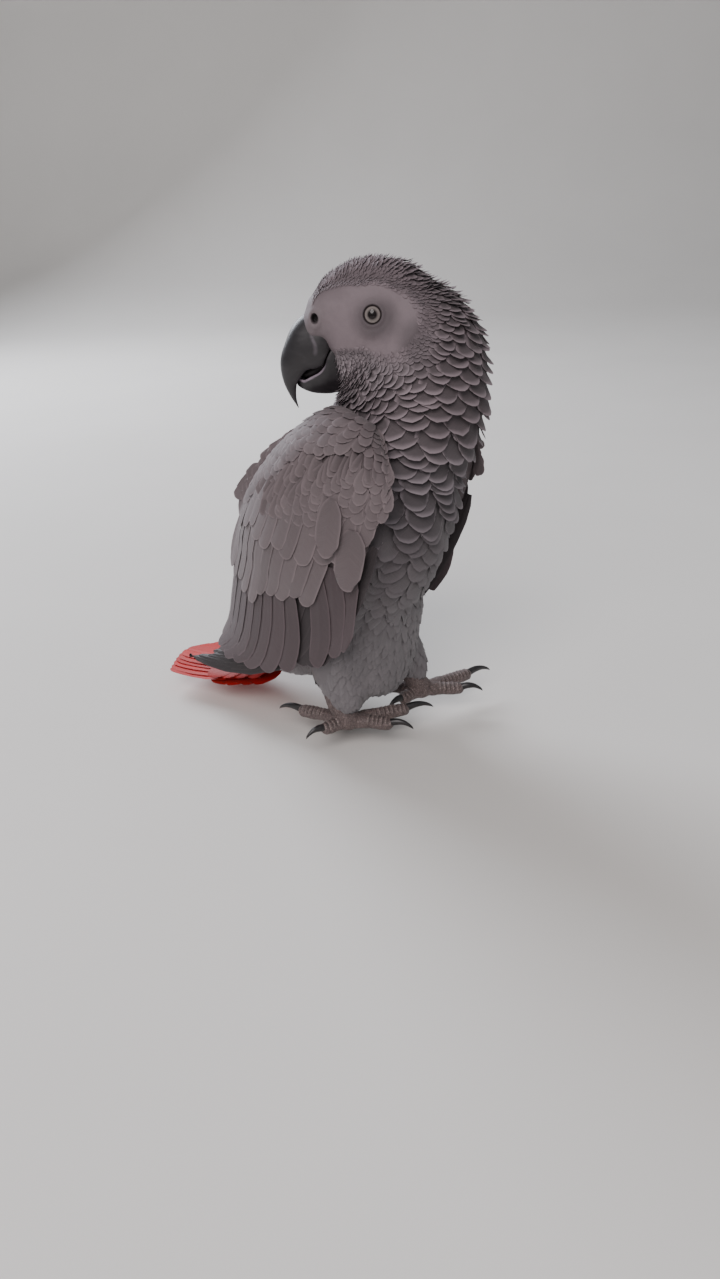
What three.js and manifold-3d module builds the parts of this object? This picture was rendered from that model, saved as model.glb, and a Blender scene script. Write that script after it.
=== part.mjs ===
// A life-size grey parrot standing on the floor, its head turned to look back over its right shoulder.
// Millimetres, +Z up. The breast faces -Y, so the bird's right side is at -X. The origin is on the floor, under
// the middle of the bird's bounding box.
import * as THREE from "three";
import { mergeVertices } from "three/addons/utils/BufferGeometryUtils.js";
import Module from "manifold-3d";

const wasm = await Module();
wasm.setup();

// ---------------------------------------------------------------- driving dimensions
const GAP = 0.3; // between two parts that touch
const FLOOR_ROOM = 0.25; // what hangs over the floor without standing on it stays this far above

// The head looks along FACE, 145 degrees round to the bird's right. CHEEK points out of its left side.
const HEAD_TURN = THREE.MathUtils.degToRad(145);
const HEAD_AT = V(0, -27, 200.6);
const FACE = V(-Math.sin(HEAD_TURN), -Math.cos(HEAD_TURN), 0);
const CHEEK = V(0, 0, 1).cross(FACE);

const EYE_RADIUS = 5.6;
const EYE_AT = { forward: 1.5, up: -1.5, out: 13.6 };
const LID = { radius: 4.75, tube: 1.1, rise: 4.0 }; // its ring lies `rise` further out than the eye's middle
const LID_LEAN = { ahead: 0.12, up: 0.14 }; // the cheek swells below the eye, so the lids face a little up
const NOSTRIL = { forward: 26.4, up: -2.7, out: 7.6, radius: 1.5 };
const CERE_LOBE = { forward: 25.2, out: 4, radius: 4.3 };

const WING_BULGE = 16; // how far a wing's middle stands out past a straight line between its edges
const ARM = { end: 0.44, shoulder: 0.18, swell: 4.4, depth: 13, rim: 0.6 };
const HAND = { from: 0.38, to: 0.51, leading: 0.08, trailing: 0.68, top: -2.6, bottom: -6.6 };
const WING_SPACE = { from: 0.25, to: 0.8, over: 9, under: 8 };

const TAIL_LENGTH = 86;
const TAIL_ROOT = V(0, 37, 18.9);
const TAIL_PITCH = { root: THREE.MathUtils.degToRad(27), tip: 0 };
const TAIL_HALF = { root: 8, tip: 20 };
const TAIL_DROOP = 4; // how much lower the edges of the tail lie at its root
const TAIL_PAIRS = 5;
const TAIL_STEP = 0.86; // how much higher each tail feather lies than the next one out
const TAIL_COVERTS = { end: 0.5, over: 3.4, under: 5 };

const FEET = {
  right: { x: -20, y: -14, yaw: 37 },
  left: { x: 26, y: -30, yaw: 49 },
};
// Two toes point forward and two back: the turn from the foot's heading, the toe's length and its claw's.
const TOES = [
  { name: "inner_front", turn: -16, length: 23, claw: 11 },
  { name: "outer_front", turn: 14, length: 33, claw: 14 },
  { name: "inner_back", turn: -152, length: 15, claw: 10 },
  { name: "outer_back", turn: 150, length: 29, claw: 13 },
];
const TOE_RADIUS = 3.7;
const SOLE_CUT = 3.0; // a toe's middle line runs this far above the floor, which flattens its sole
const ANKLE = { height: 24, back: 7 };

const COLOUR = {
  plumage: "#8b8588",
  face: "#b5b1b3",
  horn: "#2b2a2d",
  iris: "#d9d3bd",
  flight: "#4c4749",
  tail: "#b3160f",
  skin: "#77706c",
};

// ---------------------------------------------------------------- tools
function V(x, y, z) {
  return new THREE.Vector3(x, y, z);
}

/** A point given from the middle of the head: forward along the bill, out to the left cheek, and up. */
function onHead(forward, out, up) {
  return HEAD_AT.clone()
    .addScaledVector(FACE, forward)
    .addScaledVector(CHEEK, out)
    .add(V(0, 0, up));
}

/** Turns a closed geometry into a manifold-3d solid, whichever way its faces pointed. */
function toSolid(geometry) {
  const bare = new THREE.BufferGeometry()
    .setAttribute("position", geometry.getAttribute("position"))
    .setIndex(geometry.index);
  const merged = mergeVertices(bare, 1e-4);
  const triVerts = new Uint32Array(merged.index.array);
  const vertProperties = new Float32Array(merged.attributes.position.array);
  const make = () => new wasm.Manifold(new wasm.Mesh({ numProp: 3, vertProperties, triVerts }));
  const first = make();
  if (first.volume() > 0) return first;
  for (let i = 0; i < triVerts.length; i += 3) {
    [triVerts[i + 1], triVerts[i + 2]] = [triVerts[i + 2], triVerts[i + 1]];
  }
  return make();
}

/** The largest closed surface of a solid. */
function largest(solid) {
  return solid.decompose().reduce((a, b) => (a.volume() > b.volume() ? a : b));
}

function toGeometry(solid) {
  const mesh = solid.getMesh();
  const geometry = new THREE.BufferGeometry();
  geometry.setAttribute("position", new THREE.BufferAttribute(mesh.vertProperties, mesh.numProp));
  geometry.setIndex(new THREE.BufferAttribute(mesh.triVerts, 1));
  return geometry;
}

/**
 * A closed skin through oval sections. Each key is [x, y, z, half width, half depth]; `side` is the direction
 * in which the width is measured. `grow` adds to every half width and half depth. The sections are square to
 * the path, or to `axis` where one is given.
 */
function loft(keys, side, rings, sides, axis, grow = 0) {
  const path = new THREE.CatmullRomCurve3(keys.map((k) => V(k[0], k[1], k[2])), false, "centripetal");
  const size = new THREE.CatmullRomCurve3(keys.map((k) => V(k[3], k[4], 0)), false, "centripetal");
  const geometry = new THREE.SphereGeometry(1, sides, rings);
  const place = geometry.getAttribute("position");
  for (let ring = 0; ring <= rings; ring++) {
    const t = ring / rings;
    const centre = path.getPoint(t);
    const along = axis ?? path.getTangent(t);
    const across = side.clone().addScaledVector(along, -side.dot(along)).normalize();
    const deep = along.clone().cross(across);
    const half = size.getPoint(t);
    const end = ring === 0 ? -grow : ring === rings ? grow : 0;
    const wide = ring % rings ? Math.max(half.x, 0) + grow : 0;
    const thick = ring % rings ? Math.max(half.y, 0) + grow : 0;
    for (let i = 0; i <= sides; i++) {
      const turn = (2 * Math.PI * (i % sides)) / sides;
      const p = centre
        .clone()
        .addScaledVector(along, end)
        .addScaledVector(across, wide * Math.cos(turn))
        .addScaledVector(deep, thick * Math.sin(turn));
      place.setXYZ(ring * (sides + 1) + i, p.x, p.y, p.z);
    }
  }
  return toSolid(geometry);
}

/** A loft with its grown twin, which a neighbour is cut by to keep the gap. */
function lofted(keys, side, rings, sides, axis) {
  const solid = loft(keys, side, rings, sides, axis);
  return { solid, room: solid.add(loft(keys, side, rings, sides, axis, GAP)) };
}

function ball(centre, radius, detail) {
  return toSolid(new THREE.IcosahedronGeometry(radius, detail).translate(centre.x, centre.y, centre.z));
}

/** Cuts what would touch the neighbours, and what is under the floor by less than `floor`. */
function clearOf(solid, rooms, floor = 0) {
  const below = toSolid(new THREE.BoxGeometry(900, 900, 200).translate(0, 0, floor - 100));
  return largest(rooms.reduce((left, room) => left.subtract(room), solid.subtract(below)));
}

/**
 * A plate on a surface. `surface(s, t)` gives { at, out }, and `outer(s, t)` and `inner(s, t)` how far its
 * two faces lie from that surface along `out`. s runs over `rows` steps and t over `columns`.
 */
function plate(surface, outer, inner, rows, columns) {
  const points = [];
  const index = [];
  const width = columns + 1;
  for (const offset of [outer, inner]) {
    for (let i = 0; i <= rows; i++) {
      for (let j = 0; j <= columns; j++) {
        const { at, out } = surface(i / rows, j / columns);
        const p = at.clone().addScaledVector(out, offset(i / rows, j / columns));
        points.push(p.x, p.y, p.z);
      }
    }
  }
  const under = (rows + 1) * width;
  const quad = (a, b, c, d) => index.push(a, b, c, a, c, d);
  for (let i = 0; i < rows; i++) {
    for (let j = 0; j < columns; j++) {
      const a = i * width + j;
      quad(a, a + 1, a + width + 1, a + width);
      index.push(under + a, under + a + width + 1, under + a + 1);
      index.push(under + a, under + a + width, under + a + width + 1);
    }
  }
  for (let j = 0; j < columns; j++) {
    const last = rows * width + j;
    quad(j + 1, j, under + j, under + j + 1);
    quad(last, last + 1, under + last + 1, under + last);
  }
  for (let i = 0; i < rows; i++) {
    const a = i * width;
    const b = a + columns;
    quad(a, a + width, under + a + width, under + a);
    quad(b + width, b, under + b, under + b + width);
  }
  const geometry = new THREE.BufferGeometry();
  geometry.setAttribute("position", new THREE.Float32BufferAttribute(points, 3));
  geometry.setIndex(index);
  return toSolid(geometry);
}

// Repeatable random numbers, for the small differences between feathers.
let seed = 20240611;
function random() {
  seed = (Math.imul(seed, 1664525) + 1013904223) >>> 0;
  return seed / 4294967296;
}
const vary = (amount) => 1 + amount * (2 * random() - 1);
const mix = ([a, b], f) => a + (b - a) * f;

// How wide a feather is from its root to its tip, as [place along it, share of its full width].
const VANE_STATIONS = [
  [0, 0.6],
  [0.5, 1],
  [0.86, 0.86],
  [1, 0.32],
];
const VANE_THICK = { middle: 0.72, edge: 0.5 };

/**
 * One feather over a sheet, from { u, t } to { u, t }. `lift` is its height over the sheet at the root and at
 * the tip, and `roll` how much higher its far edge stands than its middle.
 */
function vane(sheet, from, to, half, lift, roll) {
  const rows = VANE_STATIONS.length - 1;
  const spot = (along) => ({ u: mix([from.u, to.u], along), t: mix([from.t, to.t], along) });
  const place = (along) => sheet(spot(along).u, spot(along).t);
  const on = (s, t) => {
    const [along, width] = VANE_STATIONS[Math.round(s * rows)];
    const { at, out } = place(along);
    const run = place(Math.min(1, along + 0.05)).at.sub(place(Math.max(0, along - 0.05)).at);
    const { u, t: middle } = spot(along);
    const chord = sheet(u, 1).at.sub(sheet(u, 0).at);
    const side = out.clone().cross(run).normalize();
    side.multiplyScalar(Math.sign(side.dot(chord)));
    const x = 2 * t - 1;
    const aside = (x * half * width) / chord.length();
    const beside = sheet(u, THREE.MathUtils.clamp(middle + aside, -0.02, 1.02)).at;
    const drop = beside.sub(at).dot(out);
    const height = drop + mix(lift, along) + roll * x * width + 0.05 * half * (1 - x * x);
    return { at: at.addScaledVector(side, x * half * width).addScaledVector(out, height), out };
  };
  const thick = (s, t) => mix([VANE_THICK.middle, VANE_THICK.edge], Math.abs(2 * t - 1)) / 2;
  return plate(on, thick, (s, t) => -thick(s, t), rows, 2);
}

// ---------------------------------------------------------------- body, neck and head
const RIGHT_LEFT = V(1, 0, 0);
const torso = lofted(
  [
    [0, 53, 12, 0, 0],
    [0, 46, 19, 14, 11],
    [0, 32, 30, 24, 24],
    [0, 16, 50, 31, 36],
    [0, 0, 75, 37.5, 42],
    [0, -14, 102, 41, 43.5],
    [0, -26, 127, 39.5, 39.5],
    [0, -33, 145, 31, 32],
    [0, -36, 158, 17, 18],
    [0, -37, 163, 0, 0],
  ],
  RIGHT_LEFT,
  16,
  22,
);

const head = lofted(
  [
    [-31, -3, 0, 0],
    [-28, -3, 12, 10],
    [-15, -3, 22.5, 18],
    [0, -5, 26.6, 18.6],
    [12, -7.5, 27.4, 17],
    [20, -10, 25.4, 13.8],
    [25.5, -8.5, 15.5, 10.2],
    [28.5, -6.5, 8, 6.2],
    [29.6, -5.5, 0, 0],
  ].map(([forward, up, tall, wide]) => [...onHead(forward, 0, up).toArray(), tall, wide]),
  V(0, 0, 1),
  18,
  20,
  FACE,
);

const neck = lofted(
  [
    [1, -32, 125, 0, 0],
    [2, -34, 133, 27, 26],
    [5, -38, 151, 33.5, 31],
    [9, -41, 168, 33, 30],
    [10.5, -42, 184, 30, 27.5],
    [9, -40, 197, 24.5, 23],
    [7, -37.5, 207, 15, 15],
    [6, -36, 213, 0, 0],
  ],
  FACE,
  12,
  18,
);

const upperBill = lofted(
  [
    [20, -5.5, 0, 0],
    [22, -7, 7.5, 8.6],
    [29, -11.5, 10.4, 9.2],
    [32.4, -19.5, 9.8, 7.6],
    [36.4, -27.5, 5.2, 4.6],
    [38, -33.5, 2.3, 2.4],
    [36.8, -38, 1.1, 1.1],
    [35.4, -40.6, 0, 0],
  ].map(([forward, up, deep, wide]) => [...onHead(forward, 0, up).toArray(), wide, deep]),
  CHEEK,
  14,
  16,
);

const lowerBill = lofted(
  [
    [10, -21, 0, 0],
    [12, -21.5, 9, 7.5],
    [19, -24.5, 9.7, 8.4],
    [25, -27.6, 6.8, 7],
    [30.5, -29.6, 3.1, 4.6],
    [34, -30.2, 0, 0],
  ].map(([forward, up, deep, wide]) => [...onHead(forward, 0, up).toArray(), wide, deep]),
  CHEEK,
  9,
  12,
);

const MIRROR = { left: 1, right: -1 };
const eyes = {};
for (const [side, sign] of Object.entries(MIRROR)) {
  const at = onHead(EYE_AT.forward, sign * EYE_AT.out, EYE_AT.up);
  eyes[side] = { solid: ball(at, EYE_RADIUS, 2), room: ball(at, EYE_RADIUS + GAP, 2) };
}

/** The raised rim of the lids. */
function lidRim(sign, grow = 0) {
  const ring = new THREE.TorusGeometry(LID.radius, LID.tube + grow, 6, 16);
  const look = CHEEK.clone().multiplyScalar(sign).addScaledVector(FACE, LID_LEAN.ahead);
  look.z += LID_LEAN.up;
  ring.applyQuaternion(new THREE.Quaternion().setFromUnitVectors(V(0, 0, 1), look.normalize()));
  const at = onHead(EYE_AT.forward, sign * (EYE_AT.out + LID.rise), EYE_AT.up);
  return toSolid(ring.translate(at.x, at.y, at.z));
}

/** The soft swelling round a nostril, at the foot of the bill. */
function cereLobe(sign, grow = 0) {
  return ball(onHead(CERE_LOBE.forward, sign * CERE_LOBE.out, NOSTRIL.up), CERE_LOBE.radius + grow, 2);
}

function nostrilHole(sign) {
  return ball(onHead(NOSTRIL.forward, sign * NOSTRIL.out, NOSTRIL.up), NOSTRIL.radius, 1);
}

// ---------------------------------------------------------------- wings
// A folded wing lies on one curved sheet, from the bend of the wing (u = 0) to the tips of the primaries
// (u = 1). t runs from its leading edge (0) to its trailing edge (1). These are the edges of the right wing.
const LEADING = [
  [-25, -42, 156],
  [-38, -54, 137],
  [-43, -48, 110],
  [-43, -34, 80],
  [-39, -17, 52],
  [-35, 10, 28],
  [-31, 54, 15],
  [-21, 99, 9],
];
const TRAILING = [
  [-17, -20, 161],
  [-21, 5, 146],
  [-20, 30, 124],
  [-19, 47, 97],
  [-17, 59, 67],
  [-13, 69, 42],
  [-7, 87, 23],
  [-2, 112, 13],
];
const edgeCurve = (points) => new THREE.CatmullRomCurve3(points.map((p) => V(...p)), false, "centripetal");
const leadingEdge = edgeCurve(LEADING);
const trailingEdge = edgeCurve(TRAILING);

function onWing(u, t) {
  const along = THREE.MathUtils.clamp(u, 0, 1);
  const lead = leadingEdge.getPoint(along);
  const chord = trailingEdge.getPoint(along).sub(lead);
  const down = leadingEdge.getTangent(along).add(trailingEdge.getTangent(along));
  const out = chord.clone().cross(down).normalize();
  const round = Math.sin(Math.PI * THREE.MathUtils.clamp(t, 0, 1));
  const fromBend = 0.35 + 0.65 * Math.min(1, along / 0.14);
  const bulge = WING_BULGE * Math.pow(1 - along, 0.6) * round * fromBend;
  return lead.addScaledVector(chord, t).addScaledVector(out, bulge);
}

/** The sheet of one wing, with the direction that points away from the body. */
function wingSheet(sign) {
  const step = 0.01;
  return (u, t) => {
    const alongU = onWing(Math.min(u + step, 1), t).sub(onWing(Math.max(u - step, 0), t));
    const alongT = onWing(u, Math.min(t + step, 1)).sub(onWing(u, Math.max(t - step, 0)));
    const out = alongT.cross(alongU).normalize();
    const at = onWing(u, t);
    return { at: V(-sign * at.x, at.y, at.z), out: V(-sign * out.x, out.y, out.z) };
  };
}

// From 1 in the middle of a strip to 0 at its edges, x = 0 and x = 1.
const rim = (x) => Math.sqrt(Math.max(0, 1 - Math.pow(Math.abs(2 * x - 1), 3)));
// From 1 at x = 0 to 0 at x = 1.
const fall = (x) => rim(0.5 * (1 - x));

/** The arm of the wing and the small feathers on it: one swelling pad. `grow` widens it for a neighbour. */
function wingArm(sign, grow = 0) {
  const sheet = wingSheet(sign);
  const shoulder = (s) => Math.sqrt(1 - Math.pow(1 - Math.min(1, s / ARM.shoulder), 2));
  const swell = (s) => shoulder(s) * fall(s);
  const on = (s, t) => sheet(s * ARM.end, t);
  const outer = (s, t) => ARM.rim + ARM.swell * swell(s) * rim(t) + grow;
  const inner = (s, t) => -ARM.rim - ARM.depth * swell(s) * Math.max(0.6, rim(t)) - grow;
  return plate(on, outer, inner, 8, 8);
}

/** The room that a folded wing takes up beside the body, for what has to stay clear of it. */
function wingSpace(sign) {
  const sheet = wingSheet(sign);
  const on = (s, t) => sheet(mix([WING_SPACE.from, WING_SPACE.to], s), t);
  return plate(on, () => WING_SPACE.over, () => -WING_SPACE.under, 8, 6);
}

/** One row of vanes along a wing. A vane nearer the trailing edge lies over the next one. */
function wingRow(sign, row) {
  const sheet = wingSheet(sign);
  const vanes = [];
  for (let k = 0; k < row.count; k++) {
    const f = k / (row.count - 1);
    const from = { u: mix(row.root, f), t: mix(row.rootAcross, f) };
    const to = { u: mix(row.tip, f) * vary(0.02), t: mix(row.tipAcross, f) };
    const lift = [mix(row.liftRoot, f), mix(row.liftTip, f)];
    vanes.push(vane(sheet, from, to, row.half * vary(0.08), lift, row.roll * vary(0.3)));
  }
  return vanes;
}

// Where each row starts and ends: u and t at its leading end and at its trailing end. `half` is half a vane's
// width.
const WING_ROWS = [
  {
    // secondaries
    count: 8, half: 9, roll: -1.15, liftRoot: [0.5, 0.5], liftTip: [0.7, 0.7],
    root: [0.37, 0.37], rootAcross: [0.1, 0.86], tip: [0.61, 0.74], tipAcross: [0.08, 0.94],
  },
  {
    // greater coverts
    count: 7, half: 8.6, roll: -1, liftRoot: [1.2, 1.2], liftTip: [3.5, 3.5],
    root: [0.27, 0.27], rootAcross: [0.1, 0.88], tip: [0.47, 0.53], tipAcross: [0.07, 0.95],
  },
  {
    // median coverts
    count: 7, half: 8, roll: -0.9, liftRoot: [1.6, 1.6], liftTip: [5.8, 5.8],
    root: [0.18, 0.18], rootAcross: [0.12, 0.88], tip: [0.34, 0.38], tipAcross: [0.07, 0.94],
  },
  {
    // alula, at the leading edge
    count: 3, half: 5.6, roll: -0.8, liftRoot: [1, 1], liftTip: [5, 5.6],
    root: [0.25, 0.25], rootAcross: [0.1, 0.22], tip: [0.47, 0.42], tipAcross: [0.1, 0.24],
  },
];
const PRIMARIES = {
  count: 6, half: 7, roll: -1.3, liftRoot: [-5, -4.6], liftTip: [-0.6, -4.4],
  root: [0.4, 0.4], rootAcross: [0.14, 0.6], tip: [0.985, 0.79], tipAcross: [0.3, 0.8],
};

/** The primaries, held by the hand that they grow from. */
function primaries(sign) {
  const sheet = wingSheet(sign);
  const on = (s, t) => sheet(mix([HAND.from, HAND.to], s), mix([HAND.leading, HAND.trailing], t));
  const hand = plate(on, () => HAND.top, () => HAND.bottom, 2, 3);
  return wingRow(sign, PRIMARIES).reduce((joined, part) => joined.add(part), hand);
}

// ---------------------------------------------------------------- tail
/** The tail's sheet: u from root to tip, t from the bird's right to its left. It flattens along an arc. */
function tailSheet(u, t) {
  const aside = 2 * t - 1;
  const half = mix([TAIL_HALF.root, TAIL_HALF.tip], Math.sqrt(u));
  const pitch = mix([TAIL_PITCH.root, TAIL_PITCH.tip], u);
  const mean = (TAIL_PITCH.root + pitch) / 2;
  const at = TAIL_ROOT.clone().add(V(half * aside, 0, -TAIL_DROOP * aside * aside * (1 - u)));
  at.addScaledVector(V(0, Math.cos(mean), -Math.sin(mean)), TAIL_LENGTH * u);
  return { at, out: V(0.2 * aside * (1 - u), Math.sin(pitch), Math.cos(pitch)).normalize() };
}

/** The tail feathers, the middle pair on top, under a pad of tail coverts. */
function tailFan() {
  const { end, over, under } = TAIL_COVERTS;
  const highest = 1 + TAIL_PAIRS * TAIL_STEP;
  const coverts = plate(
    (s, t) => tailSheet(end * s, t),
    (s, t) => highest + over * rim(t) * fall(s),
    (s, t) => -0.5 - under * rim(t) * fall(s),
    5,
    6,
  );
  const vanes = [];
  for (let k = 0; k < TAIL_PAIRS; k++) {
    for (const sign of [1, -1]) {
      const aside = (k + 0.5) / TAIL_PAIRS;
      const from = { u: 0.04, t: 0.5 + sign * 0.4 * aside };
      const to = { u: 1 - 0.07 * aside * aside, t: 0.5 + sign * 0.5 * aside };
      const height = 0.5 + TAIL_STEP * (TAIL_PAIRS - k);
      vanes.push(vane(tailSheet, from, to, 6.2 * vary(0.05), [height, height], sign * 0.35));
    }
  }
  return vanes.reduce((joined, part) => joined.add(part), coverts);
}

// ---------------------------------------------------------------- legs
/** The level direction at `degrees` to the bird's left of straight ahead. */
function heading(degrees) {
  const a = THREE.MathUtils.degToRad(degrees);
  return V(Math.sin(a), -Math.cos(a), 0);
}

function shank(foot) {
  const back = heading(foot.yaw).multiplyScalar(-1);
  const top = V(foot.x, foot.y, 0).addScaledVector(back, ANKLE.back);
  return lofted(
    [
      [top.x, top.y, ANKLE.height + 5, 0, 0],
      [top.x, top.y, ANKLE.height + 2, 4.2, 4.2],
      [top.x, top.y, ANKLE.height - 6, 4.3, 4.3],
      [(top.x + foot.x) / 2, (top.y + foot.y) / 2, 10, 5.2, 5.2],
      [foot.x, foot.y, 4.5, 6.4, 6.4],
      [foot.x, foot.y, 0.4, 5, 5],
      [foot.x, foot.y, -1, 0, 0],
    ],
    heading(foot.yaw + 90),
    9,
    10,
  );
}

function toe(foot, { turn, length }) {
  const way = heading(foot.yaw + turn);
  const base = V(foot.x, foot.y, SOLE_CUT);
  const at = (d, up = 0) => base.clone().addScaledVector(way, d).add(V(0, 0, up)).toArray();
  const r = TOE_RADIUS;
  return lofted(
    [
      [...at(0), 0, 0],
      [...at(1.5), r * 0.9, r * 0.9],
      [...at(length * 0.3, 0.4), r * 1.08, r * 1.02],
      [...at(length * 0.5, 0.4), r * 0.92, r * 0.9],
      [...at(length * 0.75, 0.2), r * 0.98, r * 0.94],
      [...at(length * 0.95, 0), r * 0.8, r * 0.84],
      [...at(length + 1.2, 0), 0, 0],
    ],
    heading(foot.yaw + turn + 90),
    8,
    7,
  );
}

function claw(foot, { turn, length, claw: reach }) {
  const way = heading(foot.yaw + turn);
  const base = V(foot.x, foot.y, SOLE_CUT);
  const at = (d, up) => base.clone().addScaledVector(way, length + d).add(V(0, 0, up)).toArray();
  return lofted(
    [
      [...at(-3, 0.6), 0, 0],
      [...at(-2, 0.7), 1.9, 2.1],
      [...at(reach * 0.25, 1.7), 1.6, 1.8],
      [...at(reach * 0.6, 1.2), 1.1, 1.2],
      [...at(reach * 0.9, -0.8), 0.55, 0.6],
      [...at(reach, -2.2), 0, 0],
    ],
    heading(foot.yaw + turn + 90),
    7,
    6,
  );
}

function thigh(foot) {
  const sign = Math.sign(foot.x);
  return lofted(
    [
      [sign * 17, -6, 76, 0, 0],
      [sign * 18, -7, 67, 18, 19],
      [sign * 19, -9, 48, 19.5, 22],
      [foot.x * 0.9, foot.y * 0.7, 30, 17, 19],
      [foot.x * 0.95, foot.y * 0.9, 18, 12.5, 13.5],
      [foot.x, foot.y + 3, 11, 8.5, 9],
      [foot.x, foot.y + 4, 8.5, 0, 0],
    ],
    RIGHT_LEFT,
    10,
    14,
  );
}

// ---------------------------------------------------------------- the parts, each cut clear of the others
const materials = {};
for (const [name, colour] of Object.entries(COLOUR)) {
  const rough = name === "horn" || name === "iris" ? 0.3 : 0.8;
  materials[name] = new THREE.MeshStandardMaterial({ color: colour, roughness: rough, metalness: 0 });
}
const bird = new THREE.Group();
function add(name, solid, material) {
  const mesh = new THREE.Mesh(toGeometry(solid), materials[material]);
  mesh.name = name;
  bird.add(mesh);
}

const faceRooms = [eyes.left.room, eyes.right.room];
let headSolid = head.solid;
for (const sign of [1, -1]) headSolid = headSolid.add(lidRim(sign)).add(cereLobe(sign));
for (const sign of [1, -1]) headSolid = headSolid.subtract(nostrilHole(sign));
headSolid = clearOf(headSolid, [...faceRooms, upperBill.room, lowerBill.room]);
add("head", headSolid, "face");
add("eye_left", eyes.left.solid, "iris");
add("eye_right", eyes.right.solid, "iris");
add("bill_upper", upperBill.solid, "horn");
add("bill_lower", clearOf(lowerBill.solid, [upperBill.room]), "horn");

add("torso", torso.solid, "plumage");
const headRooms = [head.room, upperBill.room, lowerBill.room];
for (const sign of [1, -1]) headRooms.push(lidRim(sign, GAP), cereLobe(sign, GAP));
add("neck", clearOf(neck.solid, [...headRooms, torso.room]), "plumage");

add("tail", clearOf(tailFan(), [torso.room]), "tail");

for (const [side, sign] of Object.entries(MIRROR)) {
  const foot = FEET[side];
  const shankPart = shank(foot);
  add(`shank_${side}`, clearOf(shankPart.solid, []), "skin");
  const laid = [shankPart.room];
  for (const digit of TOES) {
    const toePart = toe(foot, digit);
    const clawPart = claw(foot, digit);
    add(`claw_${side}_${digit.name}`, clearOf(clawPart.solid, [], FLOOR_ROOM), "horn");
    add(`toe_${side}_${digit.name}`, clearOf(toePart.solid, [...laid, clawPart.room]), "skin");
    laid.push(toePart.room);
  }
  const aboveThigh = [torso.room, shankPart.room, wingSpace(sign), wingArm(sign, GAP)];
  add(`thigh_${side}`, clearOf(thigh(foot).solid, aboveThigh), "plumage");
  const bodyRooms = [torso.room, neck.room];
  let wing = wingArm(sign);
  for (const row of WING_ROWS) wing = wingRow(sign, row).reduce((joined, part) => joined.add(part), wing);
  add(`wing_${side}`, clearOf(wing, bodyRooms, FLOOR_ROOM), "plumage");
  const primaryRooms = [...bodyRooms, wingArm(sign, GAP)];
  add(`primaries_${side}`, clearOf(primaries(sign), primaryRooms, FLOOR_ROOM), "flight");
}

// The origin goes under the middle of the bounding box.
const middle = new THREE.Box3().setFromObject(bird).getCenter(V(0, 0, 0));
bird.position.set(-middle.x, -middle.y, 0);

export default bird;
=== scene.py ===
# %% [markdown]
# # A grey parrot
#
# This lesson dresses the plain solids of a life-size grey parrot. The solids come in as a fixed frame. Each
# step hides some of them behind a finer piece: a skin, a coat of small feathers, wings, a tail, a bill,
# eyes and feet. All of it is real mesh, so that it also shows in an exported model.

# %% Load the frame
import math

import bmesh
import bpy
import numpy as np
from mathutils import Matrix, Vector
from mathutils.bvhtree import BVHTree
from mathutils.kdtree import KDTree


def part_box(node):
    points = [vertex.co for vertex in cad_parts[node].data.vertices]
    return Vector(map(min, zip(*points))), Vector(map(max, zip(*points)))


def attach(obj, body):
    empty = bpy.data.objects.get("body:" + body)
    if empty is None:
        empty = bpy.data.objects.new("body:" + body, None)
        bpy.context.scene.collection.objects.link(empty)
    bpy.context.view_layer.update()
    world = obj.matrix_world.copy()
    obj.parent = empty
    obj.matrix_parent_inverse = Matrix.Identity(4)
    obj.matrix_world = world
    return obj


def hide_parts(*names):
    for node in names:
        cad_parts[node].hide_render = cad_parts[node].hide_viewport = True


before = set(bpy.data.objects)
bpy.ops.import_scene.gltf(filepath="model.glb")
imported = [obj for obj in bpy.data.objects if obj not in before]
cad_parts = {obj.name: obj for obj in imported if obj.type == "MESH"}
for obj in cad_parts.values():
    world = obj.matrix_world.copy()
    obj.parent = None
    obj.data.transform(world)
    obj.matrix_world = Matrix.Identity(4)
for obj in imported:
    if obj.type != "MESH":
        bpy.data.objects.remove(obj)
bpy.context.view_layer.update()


# %% [markdown]
# ## Measures
#
# Feathers are small, so every shape here is worked out in millimetres. The solids were drawn about one
# point and then moved so that the middle of the floor is the origin. The left eye tells how far they were
# moved. The bird's breast faces -Y and its left side is at +X. Its head is turned 145 degrees to its right.

# %% Directions, and points on the head
HEAD_TURN = math.radians(145)
HEAD_AT = np.array([0, -27, 200.6])
UP = np.array([0, 0, 1.0])
FACE = np.array([-math.sin(HEAD_TURN), -math.cos(HEAD_TURN), 0])
CHEEK = np.cross(UP, FACE)
EYE_RADIUS = 5.6
EYE_AT = {"forward": 1.5, "up": -1.5, "out": 13.6}


def on_head(forward, out, up):
    return HEAD_AT + FACE * forward + CHEEK * out + UP * up


def head_measures(points):
    """How far forward, out to the left and up each point is from the middle of the head."""
    away = points - HEAD_AT
    return away @ FACE, away @ CHEEK, away[:, 2]


def eye_centre(sign):
    return on_head(EYE_AT["forward"], sign * EYE_AT["out"], EYE_AT["up"])


eye_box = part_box("eye_left")
SHIFT = np.array((eye_box[0] + eye_box[1]) / 2) * 1000 - eye_centre(1)
print("the solids were moved by", SHIFT.round(2), "mm")

# %% Small numeric tools
rng = np.random.default_rng(20240611)


def smooth(x, low, high):
    """0 at low, 1 at high, with an easy start and end."""
    t = np.clip((np.asarray(x, float) - low) / (high - low), 0, 1)
    return t * t * (3 - 2 * t)


def unit(v):
    return v / np.maximum(np.linalg.norm(v, axis=-1, keepdims=True), 1e-9)


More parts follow.
